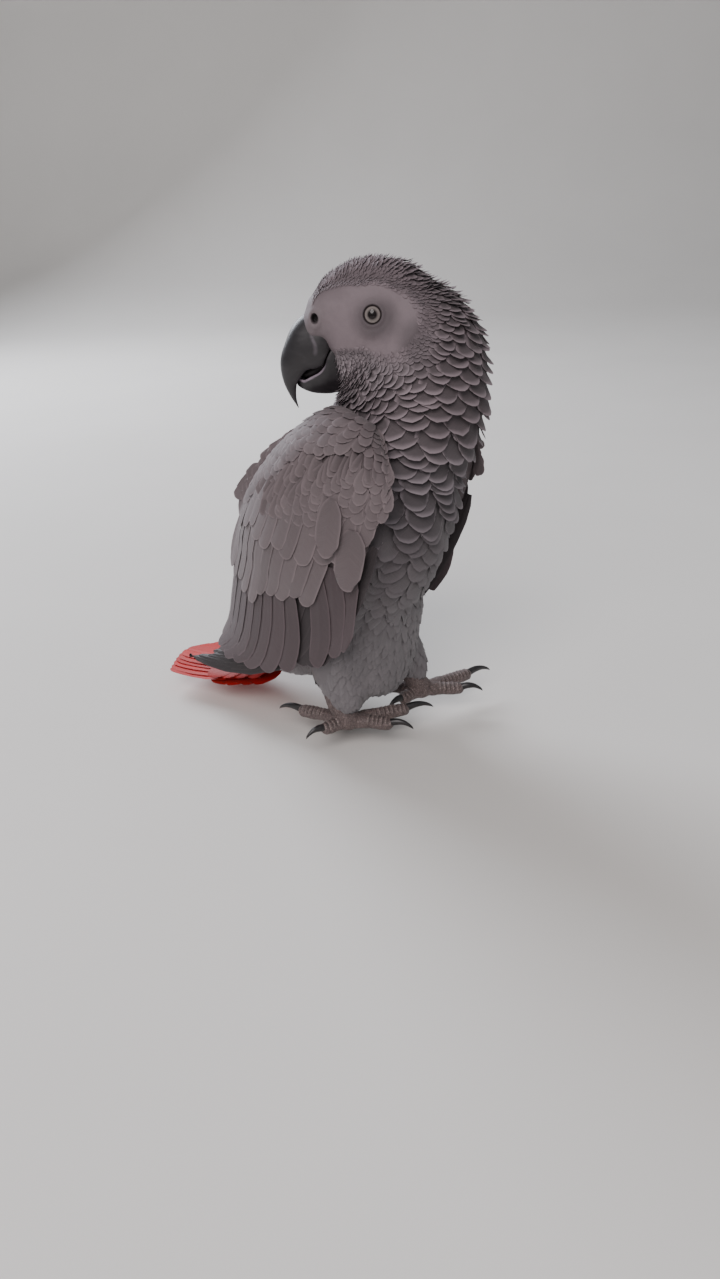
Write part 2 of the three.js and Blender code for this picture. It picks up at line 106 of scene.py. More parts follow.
def spline(points, t):
    """A centripetal Catmull-Rom curve through points, at each t from 0 to 1."""
    points = np.asarray(points, float)
    padded = np.vstack([2 * points[0] - points[1], points, 2 * points[-1] - points[-2]])
    place = np.clip(np.asarray(t, float), 0, 1) * (len(points) - 1)
    k = np.minimum(place.astype(int), len(points) - 2)
    w = (place - k)[..., None]
    p0, p1, p2, p3 = (padded[k + i] for i in range(4))
    step = [np.sqrt(np.linalg.norm(b - a, axis=-1, keepdims=True)) for a, b in ((p0, p1), (p1, p2), (p2, p3))]
    d1 = np.where(step[1] < 1e-4, 1.0, step[1])
    d0 = np.where(step[0] < 1e-4, d1, step[0])
    d2 = np.where(step[2] < 1e-4, d1, step[2])
    t1 = ((p1 - p0) / d0 - (p2 - p0) / (d0 + d1) + (p2 - p1) / d1) * d1
    t2 = ((p2 - p1) / d1 - (p3 - p1) / (d1 + d2) + (p3 - p2) / d2) * d1
    c2, c3 = 3 * (p2 - p1) - 2 * t1 - t2, 2 * (p1 - p2) + t1 + t2
    return p1 + w * (t1 + w * (c2 + w * c3))


# %% [markdown]
# ## Turning numbers into objects
#
# Blender's `foreach_set` fills a mesh from flat arrays, which is far quicker than adding vertices one by
# one. One function makes every mesh here. It moves the points into the frame and turns them into metres.

# %% Make a mesh object, and read one
MM = 0.001


def new_object(name, data):
    """Puts a mesh, a light or a camera into the scene."""
    made = bpy.data.objects.new(name, data)
    bpy.context.scene.collection.objects.link(made)
    return made


def in_frame(points):
    """Points as the flat list of metres that Blender takes."""
    return ((points + SHIFT) * MM).astype(np.float32).ravel()


def shade_smooth(mesh):
    mesh.polygons.foreach_set("use_smooth", np.ones(len(mesh.polygons), bool))


def make_object(name, points, faces, material=None):
    """points in millimetres; faces is a list of arrays, each of faces with the same number of corners."""
    mesh = bpy.data.meshes.new(name)
    mesh.vertices.add(len(points))
    mesh.vertices.foreach_set("co", in_frame(points))
    corners = np.concatenate([f.ravel() for f in faces]).astype(np.int32)
    sizes = np.concatenate([np.full(len(f), f.shape[1]) for f in faces])
    mesh.loops.add(len(corners))
    mesh.loops.foreach_set("vertex_index", corners)
    mesh.polygons.add(len(sizes))
    mesh.polygons.foreach_set("loop_start", np.r_[0, np.cumsum(sizes)[:-1]].astype(np.int32))
    mesh.update(calc_edges=True)
    shade_smooth(mesh)
    if material:
        mesh.materials.append(material)
    return new_object(name, mesh)


def read(items, field, size, kind=np.float32):
    """One property of many vertices, edges or corners, as rows of `size` numbers."""
    values = np.empty(len(items) * size, kind)
    items.foreach_get(field, values)
    return values.reshape(-1, size)


def points_of(obj):
    """An object's vertices in millimetres, in the measures that the shapes are worked out in."""
    return read(obj.data.vertices, "co", 3).astype(float) * 1000 - SHIFT


def normals_of(obj):
    return read(obj.data.vertices, "normal", 3).astype(float)


def move_points(obj, points):
    obj.data.vertices.foreach_set("co", in_frame(points))
    obj.data.update()


# %% What a finished piece carries
FIELD = {"FLOAT_COLOR": "color", "FLOAT_VECTOR": "vector", "FLOAT": "value"}


def paint(obj, name, values, kind="FLOAT_COLOR"):
    """Stores one value for each vertex, where a material can read it."""
    values = np.asarray(values, np.float32)
    if kind == "FLOAT_COLOR":
        values = np.hstack([values, np.ones((len(values), 1), np.float32)])
    layer = obj.data.attributes.new(name, kind, "POINT")
    layer.data.foreach_set(FIELD[kind], values.ravel())


def paint_evenly(obj, colour):
    paint(obj, "tone", np.tile(colour, (len(obj.data.vertices), 1)))


def add_bake_map(obj, uv):
    """The UV map in which an exporter paints this piece, from one place for each vertex."""
    corner = read(obj.data.loops, "vertex_index", 1, np.int32)[:, 0]
    obj.data.uv_layers.new(name="OFBake").data.foreach_set("uv", uv[corner].astype(np.float32).ravel())


def keep(obj, *nodes, slot):
    """A finished piece: it rides on the one body and stands for these solids. `slot` is not used."""
    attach(obj, "root")
    if nodes:
        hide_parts(*nodes)
    obj.data.calc_loop_triangles()
    print(f"{obj.name}: {len(obj.data.loop_triangles)} triangles")
    return obj


# %% Lofts
def grid_faces(rows, columns, closed=False):
    """Quads between `rows` rows of `columns` points each; closed joins the last column to the first."""
    r, c = np.meshgrid(np.arange(rows - 1), np.arange(columns if closed else columns - 1), indexing="ij")
    a, b = r * columns + c, r * columns + (c + 1) % columns
    return np.stack([a, b, b + columns, a + columns], -1).reshape(-1, 4)


def over_sheet(u_range, t_range):
    """Values of u and t at the points of a grid, where each range says from, to and how many."""
    return np.meshgrid(np.linspace(*u_range), np.linspace(*t_range), indexing="ij")


def tube_faces(rows, columns):
    """Faces of a tube whose two ends are each closed with a fan round one more point."""
    i = np.arange(columns)
    last = (rows - 1) * columns
    start = np.stack([np.full(columns, rows * columns), (i + 1) % columns, i], 1)
    end = np.stack([np.full(columns, rows * columns + 1), last + i, last + (i + 1) % columns], 1)
    return [grid_faces(rows, columns, closed=True), start, end]


def loft(keys, side, rings, sides, axis=None, square=1.0):
    """A closed form through oval sections [x, y, z, half width, half depth], as (points, faces).

    A lower `square` fills out the corners of the ovals."""
    keys = np.asarray(keys, float)
    t = np.linspace(0, 1, rings + 1)
    centre = spline(keys[:, :3], t)
    size = np.maximum(spline(np.c_[keys[:, 3:], np.zeros(len(keys))], t), 0)
    step = spline(keys[:, :3], t + 1e-3) - spline(keys[:, :3], t - 1e-3)
    along = unit(step) if axis is None else np.tile(axis, (rings + 1, 1))
    across = unit(side - along * (along @ side)[:, None])
    deep = np.cross(along, across)
    turn = np.arange(sides) * 2 * math.pi / sides
    one, two = (np.sign(f) * np.abs(f) ** square for f in (np.cos(turn), np.sin(turn)))
    ring = (
        centre[1:-1, None]
        + across[1:-1, None] * (size[1:-1, 0, None] * one)[..., None]
        + deep[1:-1, None] * (size[1:-1, 1, None] * two)[..., None]
    )
    return np.vstack([ring.reshape(-1, 3), centre[:1], centre[-1:]]), tube_faces(rings - 1, sides)


# %% One skin from several forms
def fuse(name, forms, voxel):
    """Joins closed forms into one even skin of small quads."""
    points, faces, count = [], [], 0
    for p, parts in forms:
        points.append(p)
        faces += [part + count for part in parts]
        count += len(p)
    rough = make_object(name + "_rough", np.vstack(points), faces)
    modifier = rough.modifiers.new("Remesh", "REMESH")
    modifier.mode = "VOXEL"
    modifier.voxel_size = voxel * MM
    graph = bpy.context.evaluated_depsgraph_get()
    mesh = bpy.data.meshes.new_from_object(rough.evaluated_get(graph))
    bpy.data.objects.remove(rough)
    mesh.name = name
    shade_smooth(mesh)
    return new_object(name, mesh)


def relax(obj, times, weight=1.0):
    """Evens a mesh out by moving each vertex towards the middle of its neighbours, at most half way."""
    a, b = read(obj.data.edges, "vertices", 2, np.int32).T
    points = points_of(obj)
    ends, others = np.r_[a, b], np.r_[b, a]
    count = np.bincount(ends, minlength=len(points))[:, None]
    pull = 0.5 * np.broadcast_to(weight, len(points))[:, None]
    for _ in range(times):
        total = np.stack([np.bincount(ends, points[others, k], len(points)) for k in range(3)], 1)
        points = points + pull * (total / count - points)
    move_points(obj, points)


# %% Quick searches
def point_tree(points):
    """For finding the nearest of many points."""
    tree = KDTree(len(points))
    for i, p in enumerate(points.tolist()):
        tree.insert(p, i)
    tree.balance()
    return tree


def face_tree(points, faces):
    """A surface to lay feathers on."""
    return BVHTree.FromPolygons([Vector(p) for p in points.reshape(-1, 3)], faces)


def nearest(surface, points):
    """The nearest point of a surface to each point, and the surface's direction there."""
    found = [surface.find_nearest(p)[:2] for p in points.reshape(-1, 3).tolist()]
    at, out = (np.array([f[k] for f in found]).reshape(points.shape) for k in (0, 1))
    return at, out


def along_surface(way, out):
    """The direction `way` without the part of it that leaves the surface."""
    return unit(way - out * (way * out).sum(1, keepdims=True))


def about_axis(away, look):
    """How high each point is along an axis, and how far it is from it."""
    height = away @ look
    return height, np.linalg.norm(away - height[:, None] * look, axis=1)


# %% [markdown]
# ## Colours
#
# A grey parrot's feathers hold black pigment in a net so fine that the eye sees grey. The edge of each
# small feather has less of it and looks like a pale scale. The face is bare, whitish skin. The tail's red
# is a parrot's own pigment, and it is strong and even. Colours are written as on a screen and turned to the
# linear values that Blender mixes. One function says which colour belongs where, and the skin and the coat of
# the body ask it, so that nothing shows through in the wrong colour.

# %% Palette
def linear(colour):
    """A screen colour such as "#8b8588" as the linear numbers that Blender mixes."""
    parts = np.array([int(colour[i : i + 2], 16) for i in (1, 3, 5)]) / 255
    return np.where(parts <= 0.04045, parts / 12.92, ((parts + 0.055) / 1.055) ** 2.4)


PALETTE = {
    "face": "#756a6e",
    "eye_shade": "#4f484b",
    "cere": "#6f6669",
    "crown": "#5b5255",
    "nape": "#5e5558",
    "cheek": "#6f676a",
    "breast": "#5b5558",
    "belly": "#6b6769",
    "vent": "#8a8587",
    "back": "#645b5c",
    "covert": "#685e60",
    "secondary": "#4f4447",
    # hand: partly the hand coverts' own dark colour, partly painted shade for the shadowed gap below the
    # wing's front edge.
    "hand": "#383234",
    "primary": "#262021",
    "tail": "#b50d08",
    "tail_covert": "#a3110b",
}
PALETTE = {name: linear(colour) for name, colour in PALETTE.items()}


def mixed(first, second, share):
    return first + (second - first) * np.asarray(share)[..., None]


# The edge of the bare face as seen from its side: [forward, up], once round.
FACE_MIDDLE = np.array([4, -3])
FACE_EDGE = np.array([
    [33, -3], [31, 2], [28.3, 5.6], [25, 7], [17.1, 8.5], [7.7, 9], [-4.4, 8.5], [-11.2, 6.3], [-15.6, 2],
    [-16, -1], [-15.3, -5.6], [-10.8, -10.6], [-6, -14.3], [1, -15.5], [7.6, -13.8], [12.6, -13.5],
    [18.3, -14.3], [22, -13.5], [26, -12], [31, -8],
]) - FACE_MIDDLE
EDGE_TURN = np.arctan2(FACE_EDGE[:, 1], FACE_EDGE[:, 0])
EDGE_REACH = np.hypot(FACE_EDGE[:, 0], FACE_EDGE[:, 1])
CERE_RADIUS = 9.5


def face_reach(points):
    """Below 1 on the bare face and the cere, and above 1 away from them."""
    forward, out, up = head_measures(points)
    x, y = forward - FACE_MIDDLE[0], up - FACE_MIDDLE[1]
    edge = np.interp(np.arctan2(y, x), EDGE_TURN, EDGE_REACH, period=2 * math.pi)
    side = np.hypot(x, y) / edge + smooth(np.abs(out), 8.5, 4)
    cere = np.linalg.norm(points - on_head(27.5, 0, -4.5), axis=1) / CERE_RADIUS
    return np.minimum(side, cere)


def ear_patch(points):
    """1 where short, dark feathers cover the ear behind the face, and 0 elsewhere."""
    forward, out, up = head_measures(points)
    return smooth(np.hypot((forward + 16) / 9, (up + 11) / 9), 1.25, 0.5) * (np.abs(out) > 6)


def layered(*layers):
    """Lays colours of the palette over one another, each but the first with its share."""
    colour = PALETTE[layers[0]]
    for name, share in layers[1:]:
        colour = mixed(colour, PALETTE[name], share)
    return colour


def markings(points):
    """The colour of the coat, and of the skin under it, at each point of the body."""
    forward, _, up = head_measures(points)
    y, z = points[:, 1], points[:, 2]
    ear = ear_patch(points)
    back = smooth(y, -20, 12) * smooth(z, 15, 55)
    head = smooth(np.linalg.norm(points - on_head(6, 0, 0), axis=1), 44, 26)
    body = layered(
        "breast", ("back", back), ("belly", smooth(z, 112, 60) * (1 - back)),
        ("vent", smooth(z, 45, 18) * smooth(y, -10, 20)), ("nape", smooth(z, 140, 172)),
    )
    coat = mixed(body, layered("cheek", ("crown", smooth(up, -12, 2))), head)
    coat = mixed(coat, PALETTE["eye_shade"], 0.4 * ear)
    from_eye = np.hypot((forward - EYE_AT["forward"] + 0.8) / 1.15, up - EYE_AT["up"] + 1.0)
    # Painted shade: eye_shade darkens the face towards the eye; the same colour also darkens the ear patch.
    face = layered(
        "face", ("cere", smooth(forward, 17, 27)), ("eye_shade", 0.8 * smooth(from_eye, 11, 4.2)),
        ("crown", 0.5 * smooth(up, 3, 9) * smooth(forward, 8, 18)), ("eye_shade", 0.7 * ear),
    )
    return mixed(coat, face, smooth(face_reach(points), 1.38, 0.92))


print("colours:", ", ".join(PALETTE))

# %% [markdown]
# ## Materials
#
# Feathers, claws and the bill are all keratin, the stuff of nails. Its index of refraction is about 1.55.
# In a feather it is spun into barbs that scatter light, so a feather looks matt with a faint sheen. In the
# bill and the claws it is solid and grown in layers, so they look like polished horn. A material is a tree
# of nodes, and one small function adds a node with its settings and its links.

# %% A node
KERATIN_IOR = 1.55
FIRST, SECOND, MIXED = 6, 7, 2  # where a mix node has its two colours and its result


def plug(tree, node, inputs):
    """Gives each socket a value, or a link. A node given as a value stands for its first output."""
    for socket, value in inputs.items():
        if isinstance(value, bpy.types.Node):
            value = value.outputs[0]
        if isinstance(value, bpy.types.NodeSocket):
            tree.links.new(value, node.inputs[socket])
        else:
            node.inputs[socket].default_value = value


def add(tree, kind, inputs=None, **settings):
    """Adds a node with its settings and its links."""
    made = tree.nodes.new("ShaderNode" + kind)
    for name, value in settings.items():
        setattr(made, name, value)
    plug(tree, made, inputs or {})
    return made


def new_material(name):
    """A material, its tree and its shader."""
    material = bpy.data.materials.new(name)
    material.use_nodes = True
    tree = material.node_tree
    return material, tree, tree.nodes["Principled BSDF"]


# %% Feathers
BARB_MM = 0.55  # real barbs stand about 0.35 mm apart; they are drawn as coarse as it needs to show
BARB_LEAN = -0.9


def feather_material(name, fringe_mm, fringe_tint, centre_tint, roughness, sheen, streak, relief):
    """Barbs of spun keratin. The attribute `tone` holds the colour, `edge` the distance to a vane's side and
    to its tip in mm, `reach` the distance across and along it from its root in mm, and `pale` how pale the
    feather's fringe is."""
    material, tree, shader = new_material(name)
    tone = add(tree, "Attribute", attribute_name="tone")
    edge = add(tree, "Attribute", attribute_name="edge").outputs["Vector"]
    reach = add(tree, "Attribute", attribute_name="reach").outputs["Vector"]
    strength = add(tree, "Attribute", attribute_name="pale").outputs["Fac"]
    split = add(tree, "SeparateXYZ", {0: edge})
    near = add(tree, "Math", {0: split, 1: split.outputs[1]}, operation="MINIMUM")
    across = add(tree, "SeparateXYZ", {0: reach})
    aside = add(tree, "Math", {0: across}, operation="ABSOLUTE")
    leaning = {0: aside, 1: BARB_LEAN, 2: across.outputs[1]}
    barb = add(tree, "Math", leaning, operation="MULTIPLY_ADD")
    place = add(tree, "CombineXYZ", {0: barb, 1: across, 2: split.outputs[2]})
    # Close together along the feather, drawn out across it, and different on the next feather.
    stretch = {0: place, 1: (1 / BARB_MM, 0.12, 60)}
    stretch = add(tree, "VectorMath", stretch, operation="MULTIPLY")
    barbs = add(tree, "TexNoise", {"Vector": stretch, "Scale": 1, "Detail": 2, "Roughness": 0.6})
    wear = add(tree, "Math", {0: barbs, 1: fringe_mm * 0.9, 2: near}, operation="MULTIPLY_ADD")
    fringe = {"Value": wear, "From Min": fringe_mm * 2.5, "From Max": fringe_mm * 0.4}
    fringe = add(tree, "MapRange", fringe, interpolation_type="SMOOTHSTEP")
    pale, dark = (
        add(tree, "Mix", {"Factor": 1.0, FIRST: tone, SECOND: (*tint, 1)}, data_type="RGBA",
            blend_type="MULTIPLY").outputs[MIXED]
        for tint in (fringe_tint, centre_tint)
    )
    share = add(tree, "Math", {0: fringe, 1: strength}, operation="MULTIPLY")
    plain = add(tree, "Mix", {"Factor": share, FIRST: dark, SECOND: pale}, data_type="RGBA")
    light = add(tree, "MapRange", {"Value": barbs, "To Min": 1 - streak, "To Max": 1 + streak})
    streaked = {0: plain.outputs[MIXED], "Scale": light}
    streaked = add(tree, "VectorMath", streaked, operation="SCALE")
    bump = add(tree, "Bump", {"Height": barbs, "Strength": 0.6, "Distance": relief * MM})
    plug(tree, shader, {
        "Base Color": streaked, "Normal": bump, "Roughness": roughness, "IOR": KERATIN_IOR,
        "Specular IOR Level": 0.25, "Sheen Weight": sheen, "Sheen Roughness": 0.5,
    })
    return material


CONTOUR, DOWNY, COVERT, FLIGHT, SCARLET = (
    feather_material(kind + "_feather_keratin", fringe, rim_tint, (middle,) * 3, *rest)
    for kind, fringe, rim_tint, middle, *rest in (
        ("contour", 1.15, (2.1, 2.08, 2.12), 0.82, 0.8, 0.1, 0.16, 0.1),
        ("downy", 1.6, (1.3, 1.3, 1.32), 0.92, 0.9, 0.2, 0.2, 0.14),
        ("covert", 0.65, (1.36, 1.34, 1.35), 0.94, 0.7, 0.1, 0.12, 0.08),
        ("flight", 0.5, (1.7, 1.6, 1.6), 0.95, 0.5, 0.05, 0.16, 0.12),
        ("scarlet", 0.6, (0.85, 0.7, 0.7), 1.0, 0.58, 0.06, 0.18, 0.12),
    )
)
print("feather materials:", [m.name for m in (CONTOUR, DOWNY, COVERT, FLIGHT, SCARLET)])

# %% Skin and eye
CREASE_MM = 0.9
BLOTCH_MM = 2.5


def skin_material():
    """Bare skin: matt, slightly translucent, with a net of fine creases."""
    material, tree, shader = new_material("bare_bird_skin")
    tone = add(tree, "Attribute", attribute_name="tone")
    where = add(tree, "TexCoord").outputs["Object"]
    net = {"Vector": where, "Scale": 1000 / CREASE_MM}
    creases = add(tree, "TexVoronoi", net, feature="DISTANCE_TO_EDGE")
    soft = add(tree, "TexNoise", {"Vector": where, "Scale": 1000 / BLOTCH_MM, "Detail": 4})
    shade = add(tree, "MapRange", {"Value": soft, "To Min": 0.9, "To Max": 1.1})
    mottled = add(tree, "VectorMath", {0: tone, "Scale": shade}, operation="SCALE")
    height = add(tree, "Math", {0: creases, 1: soft}, operation="ADD")
    bump = add(tree, "Bump", {"Height": height, "Strength": 0.35, "Distance": 0.12 * MM})
    plug(tree, shader, {
        "Base Color": mottled, "Normal": bump, "Roughness": 0.62, "IOR": 1.4, "Specular IOR Level": 0.3,
    })
    return material


def eye_material():
    """A wet eye: its colours are painted on the ball, and a clear, glossy coat stands for the cornea."""
    material, tree, shader = new_material("wet_eye_cornea_and_iris")
    tone = add(tree, "Attribute", attribute_name="tone")
    plug(tree, shader, {
        "Base Color": tone, "Roughness": 0.35, "IOR": 1.376, "Specular IOR Level": 0.1, "Coat Weight": 0.5,
        "Coat Roughness": 0.05,
    })
    return material


SKIN = skin_material()
EYE = eye_material()
print("soft materials:", SKIN.name, EYE.name)

# %% Horn and hide
BEAD_MM = 1.15


def horn_material(name, colour, worn, roughness, layer_mm):
    """Solid keratin, laid down in layers and worn paler where it rubs. `tone` scales its colour."""
    material, tree, shader = new_material(name)
    tone = add(tree, "Attribute", attribute_name="tone")
    where = add(tree, "TexCoord").outputs["Object"]
    squeeze = add(tree, "VectorMath", {0: where, 1: (1, 1, 2.4)}, operation="MULTIPLY")
    layers = {"Vector": squeeze, "Scale": 1000 / layer_mm, "Detail": 3, "Distortion": 0.6}
    layers = add(tree, "TexNoise", layers)
    share = add(tree, "MapRange", {"Value": layers, "From Min": 0.42, "From Max": 0.72})
    base = {"Factor": share, FIRST: (*linear(colour), 1), SECOND: (*linear(worn), 1)}
    base = add(tree, "Mix", base, data_type="RGBA")
    scaled = {"Factor": 1.0, FIRST: base.outputs[MIXED], SECOND: tone}
    scaled = add(tree, "Mix", scaled, data_type="RGBA", blend_type="MULTIPLY")
    dull = {"Value": layers, "To Min": roughness - 0.08, "To Max": roughness + 0.12}
    dull = add(tree, "MapRange", dull)
    bump = add(tree, "Bump", {"Height": layers, "Strength": 0.25, "Distance": 0.2 * MM})
    plug(tree, shader, {
        "Base Color": scaled.outputs[MIXED], "Roughness": dull, "Normal": bump, "IOR": KERATIN_IOR,
    })
    return material


def hide_material():
    """The foot's hide: small horny scales like beads, with painted shade in the creases between them."""
    material, tree, shader = new_material("scaly_foot_hide")
    tone = add(tree, "Attribute", attribute_name="tone")
    where = add(tree, "TexCoord").outputs["Object"]
    net = {"Vector": where, "Scale": 1000 / BEAD_MM}
    beads = add(tree, "TexVoronoi", net, feature="DISTANCE_TO_EDGE")
    single = add(tree, "TexVoronoi", net)
    raised = {"Value": beads, "From Max": 0.2}
    raised = add(tree, "MapRange", raised, interpolation_type="SMOOTHSTEP")
    own = add(tree, "SeparateXYZ", {0: single.outputs["Color"]})
    luck = add(tree, "MapRange", {"Value": own, "To Min": 0.85, "To Max": 1.2})
    # Painted shade: the creases between the beads are darkened to half.
    crease = add(tree, "MapRange", {"Value": raised, "To Min": 0.5, "To Max": 1.0})
    shade = add(tree, "Math", {0: luck, 1: crease}, operation="MULTIPLY")
    mottled = add(tree, "VectorMath", {0: tone, "Scale": shade}, operation="SCALE")
    bump = add(tree, "Bump", {"Height": raised, "Strength": 0.8, "Distance": 0.3 * MM})
    plug(tree, shader, {
        "Base Color": mottled, "Normal": bump, "Roughness": 0.5, "IOR": KERATIN_IOR,
        "Specular IOR Level": 0.4,
    })
    return material


BILL_HORN = horn_material("bill_horn", "#1c191c", "#272427", 0.42, 7)
CLAW_HORN = horn_material("claw_horn", "#171516", "#2c2829", 0.33, 3)
HIDE = hide_material()
print("hard materials:", [m.name for m in (BILL_HORN, CLAW_HORN, HIDE)])

# %% [markdown]
# ## The skin
#
# Under its coat a bird is one smooth form. Head, neck, body and thighs are drawn as lofts, which are ovals
# strung along a curve, and fused by a voxel remesh. That gives one skin of even quads with no seam. Loose
# feathers fill the hollows between them, so soft forms are fused in too: an apron between the thighs,
# a mantle between the wings, and a flank behind the front edge of each wing. Where feathers grow, the skin
# is drawn in by the depth of the coat. On the bare face it stays at full size.

# %% Forms of the body
SIDEWAYS = np.array([1.0, 0, 0])
TORSO = [
    [0, 53, 12, 0, 0],
    [0, 46, 19, 14, 11],
    [0, 32, 30, 24, 24],
    [0, 16, 50, 31, 36],
    [0, 0, 75, 37.5, 42],
    [0, -14, 102, 41, 43.5],
    [0, -26, 127, 39.5, 39.5],
    [0, -33, 145, 31, 32],
    [0, -36, 158, 17, 18],
    [0, -37, 163, 0, 0],
]
NECK = [
    [1, -32, 125, 0, 0],
    [2, -34, 133, 27, 26],
    [5, -38, 151, 33.5, 31],
    [9, -41, 168, 33, 30],
    [10.5, -42, 184, 30, 27.5],
    [9, -40, 197, 24.5, 23],
    [7, -37.5, 207, 15, 15],
    [6, -36, 213, 0, 0],
]
HEAD = [
    [-31, -3, 0, 0],
    [-28, -3, 12, 10],
    [-15, -3, 22.5, 18],
    [0, -5, 26.6, 18.6],
    [10, -7, 27, 17.4],
    [15.5, -8, 25.6, 15.5],
    [19.5, -2.4, 17.8, 13.6],
    [23, 0.1, 12.2, 11.8],
    [26.5, -0.8, 8.6, 10],
    [29, -2, 5, 6.6],
    [30.4, -2.6, 0, 0],
]
CERE = [
    [17, -4, 0, 0],
    [18.5, -4, 9, 9],
    [24, -3.4, 8, 10.6],
    [27.5, -4.4, 6.6, 10.2],
    [29.6, -4.6, 5.2, 8],
    [30.9, -4.4, 2.6, 3.8],
    [31.2, -4.4, 0, 0],
]
APRON = [
    [1, -12, 98, 0, 0],
    [1, -15, 90, 30, 25],
    [2, -18, 75, 34, 25],
    [3, -20, 60, 33, 22],
    [3, -21, 44, 30, 19],
    [3, -22, 30, 25, 16],
    [3, -22, 18, 20, 12],
    [3, -22, 12, 13, 8],
    [3, -22, 8, 0, 0],
]
# Feathers of the back fill the room between the wings, so the skin stands out there to carry them.
MANTLE = [
    [0, -24, 160, 0, 0],
    [0, -17, 151, 18, 14],
    [0, -5, 138, 21, 20.5],
    [0, 9.5, 124, 21.5, 22],
    [0, 21, 110, 21, 21],
    [0, 31, 97, 20, 19],
    [0, 39, 82, 19, 16.5],
    [0, 45, 67, 17, 14],
    [0, 48, 52, 14, 11],
    [0, 49, 38, 10, 7],
    [0, 48, 26, 0, 0],
]
FEET = {
    "right": {"x": -20, "y": -14, "yaw": 37, "fluff": 1.04},
    "left": {"x": 26, "y": -30, "yaw": 49, "fluff": 0.84},
}
SIGN = {"left": 1, "right": -1}

# %% Forms that come in pairs, and the skin


def flank_keys(side):
    """The side of the breast, which fills the room behind the wing's front edge."""
    sign, wide = (1, 11) if side == "left" else (-1, 13)
    return [
        [sign * 20, -34, 142, 0, 0],
        [sign * 24, -35, 131, wide * 0.9, 17],
        [sign * 28.5, -30, 110, wide, 20],
        [sign * 29.5, -21, 85, wide * 0.92, 18],
        [sign * 27, -9, 60, wide * 0.8, 16],
        [sign * 25, -3, 44, 0, 0],
    ]


def head_keys(keys):
    return [[*on_head(forward, 0, up), a, b] for forward, up, a, b in keys]


def thigh_keys(foot):
    x, y, wide = foot["x"], foot["y"], foot["fluff"]
    sign = math.copysign(1, x)
    return [
        [sign * 17, -6, 76, 0, 0],
        [sign * 18, -7, 67, 17, 19],
        [sign * 18.5, -9, 48, 17 * wide, 19 * wide],
        [x * 0.88, y * 0.65, 30, 15.5 * wide, 17.5 * wide],
        [x * 0.94, y * 0.88, 18, 12.5 * wide, 13.5 * wide],
        [x, y + 3, 10, 9 * wide, 9.5 * wide],
        [x, y + 4, 7.5, 0, 0],
    ]


body_forms = [
    loft(TORSO, SIDEWAYS, 80, 72),
    loft(NECK, FACE, 60, 72),
    loft(head_keys(HEAD), UP, 90, 72, axis=FACE),
    loft(head_keys(CERE), UP, 40, 48, axis=FACE, square=0.66),
    loft(APRON, SIDEWAYS, 40, 56),
    loft(MANTLE, SIDEWAYS, 60, 56, square=0.6),
    *(loft(flank_keys(side), SIDEWAYS, 50, 48, square=0.7) for side in SIGN),
    *(loft(thigh_keys(foot), SIDEWAYS, 40, 48) for foot in FEET.values()),
]
skin = fuse("skin", body_forms, voxel=1.3)
from_cere = np.linalg.norm(points_of(skin) - on_head(27, 0, -4), axis=1)
relax(skin, 14, weight=0.2 + 0.8 * smooth(from_cere, 9, 17))
print("skin:", len(skin.data.vertices), "vertices before its details")

# %% Finer quads on the face
NOSTRIL = {"forward": 25.8, "up": -2.0, "out": 9.8, "radius": 1.4}


def nostril_centre(sign):
    return on_head(NOSTRIL["forward"], sign * NOSTRIL["out"], NOSTRIL["up"])


def refine(obj, inside):
    """Splits the faces all of whose corners are `inside` into four."""
    work = bmesh.new()
    work.from_mesh(obj.data)
    edges = [e for e in work.edges if all(inside[v.index] for v in e.verts)]
    bmesh.ops.subdivide_edges(work, edges=edges, cuts=1, use_grid_fill=True, smooth=0.0)
    work.to_mesh(obj.data)
    work.free()
    shade_smooth(obj.data)


def near_pair(points, centre, radius):
    """True near either of the two places `centre(1)` and `centre(-1)`."""
    return np.min([np.linalg.norm(points - centre(sign), axis=1) for sign in (1, -1)], axis=0) < radius


refine(skin, face_reach(points_of(skin)) < 1.25)
points = points_of(skin)
refine(skin, near_pair(points, eye_centre, 12) | near_pair(points, nostril_centre, 5))
print("skin:", len(skin.data.vertices), "vertices with a finer face")

# %% The coat's depth, the lids and the nostrils
LID_LEAN = {"ahead": 0.12, "up": 0.14}
# The lid's section: [distance from the eye's axis, height over the eye's middle]. It dives behind the
# eyeball, folds over its edge into a rim, and runs out through a groove and a fold into the cheek.
LID_SECTION = np.array([
    [0, 1.5], [3.05, 1.6], [3.4, 3.2], [3.55, 4.5], [3.8, 4.95], [4.2, 5.15], [4.7, 5.05], [5.2, 4.8],
    [5.7, 4.62], [6.3, 4.58], [6.9, 4.58], [7.6, 4.52], [8.2, 4.45],
])
RING_HEIGHT = 0.55
NOSTRIL_DEPTH = 3.2


def coat_depth(points):
    """How deep the coat of feathers is, from nothing on the bare face to 3 mm on the body."""
    from_bill = np.linalg.norm(points - on_head(27, 0, -10), axis=1)
    deep = np.interp(from_bill, [0, 12, 30, 48, 70], [0.3, 0.7, 1.4, 2.4, 3.0])
    return deep * smooth(face_reach(points), 0.98, 1.3)


def eye_axis(sign):
    look = CHEEK * sign + FACE * LID_LEAN["ahead"] + UP * LID_LEAN["up"]
    return look / np.linalg.norm(look)


def beside_nostril(off):
    """How far a point is from the nostril's middle; the nostril is a little taller than wide."""
    return np.hypot(off @ FACE, (off @ UP) / 1.3)


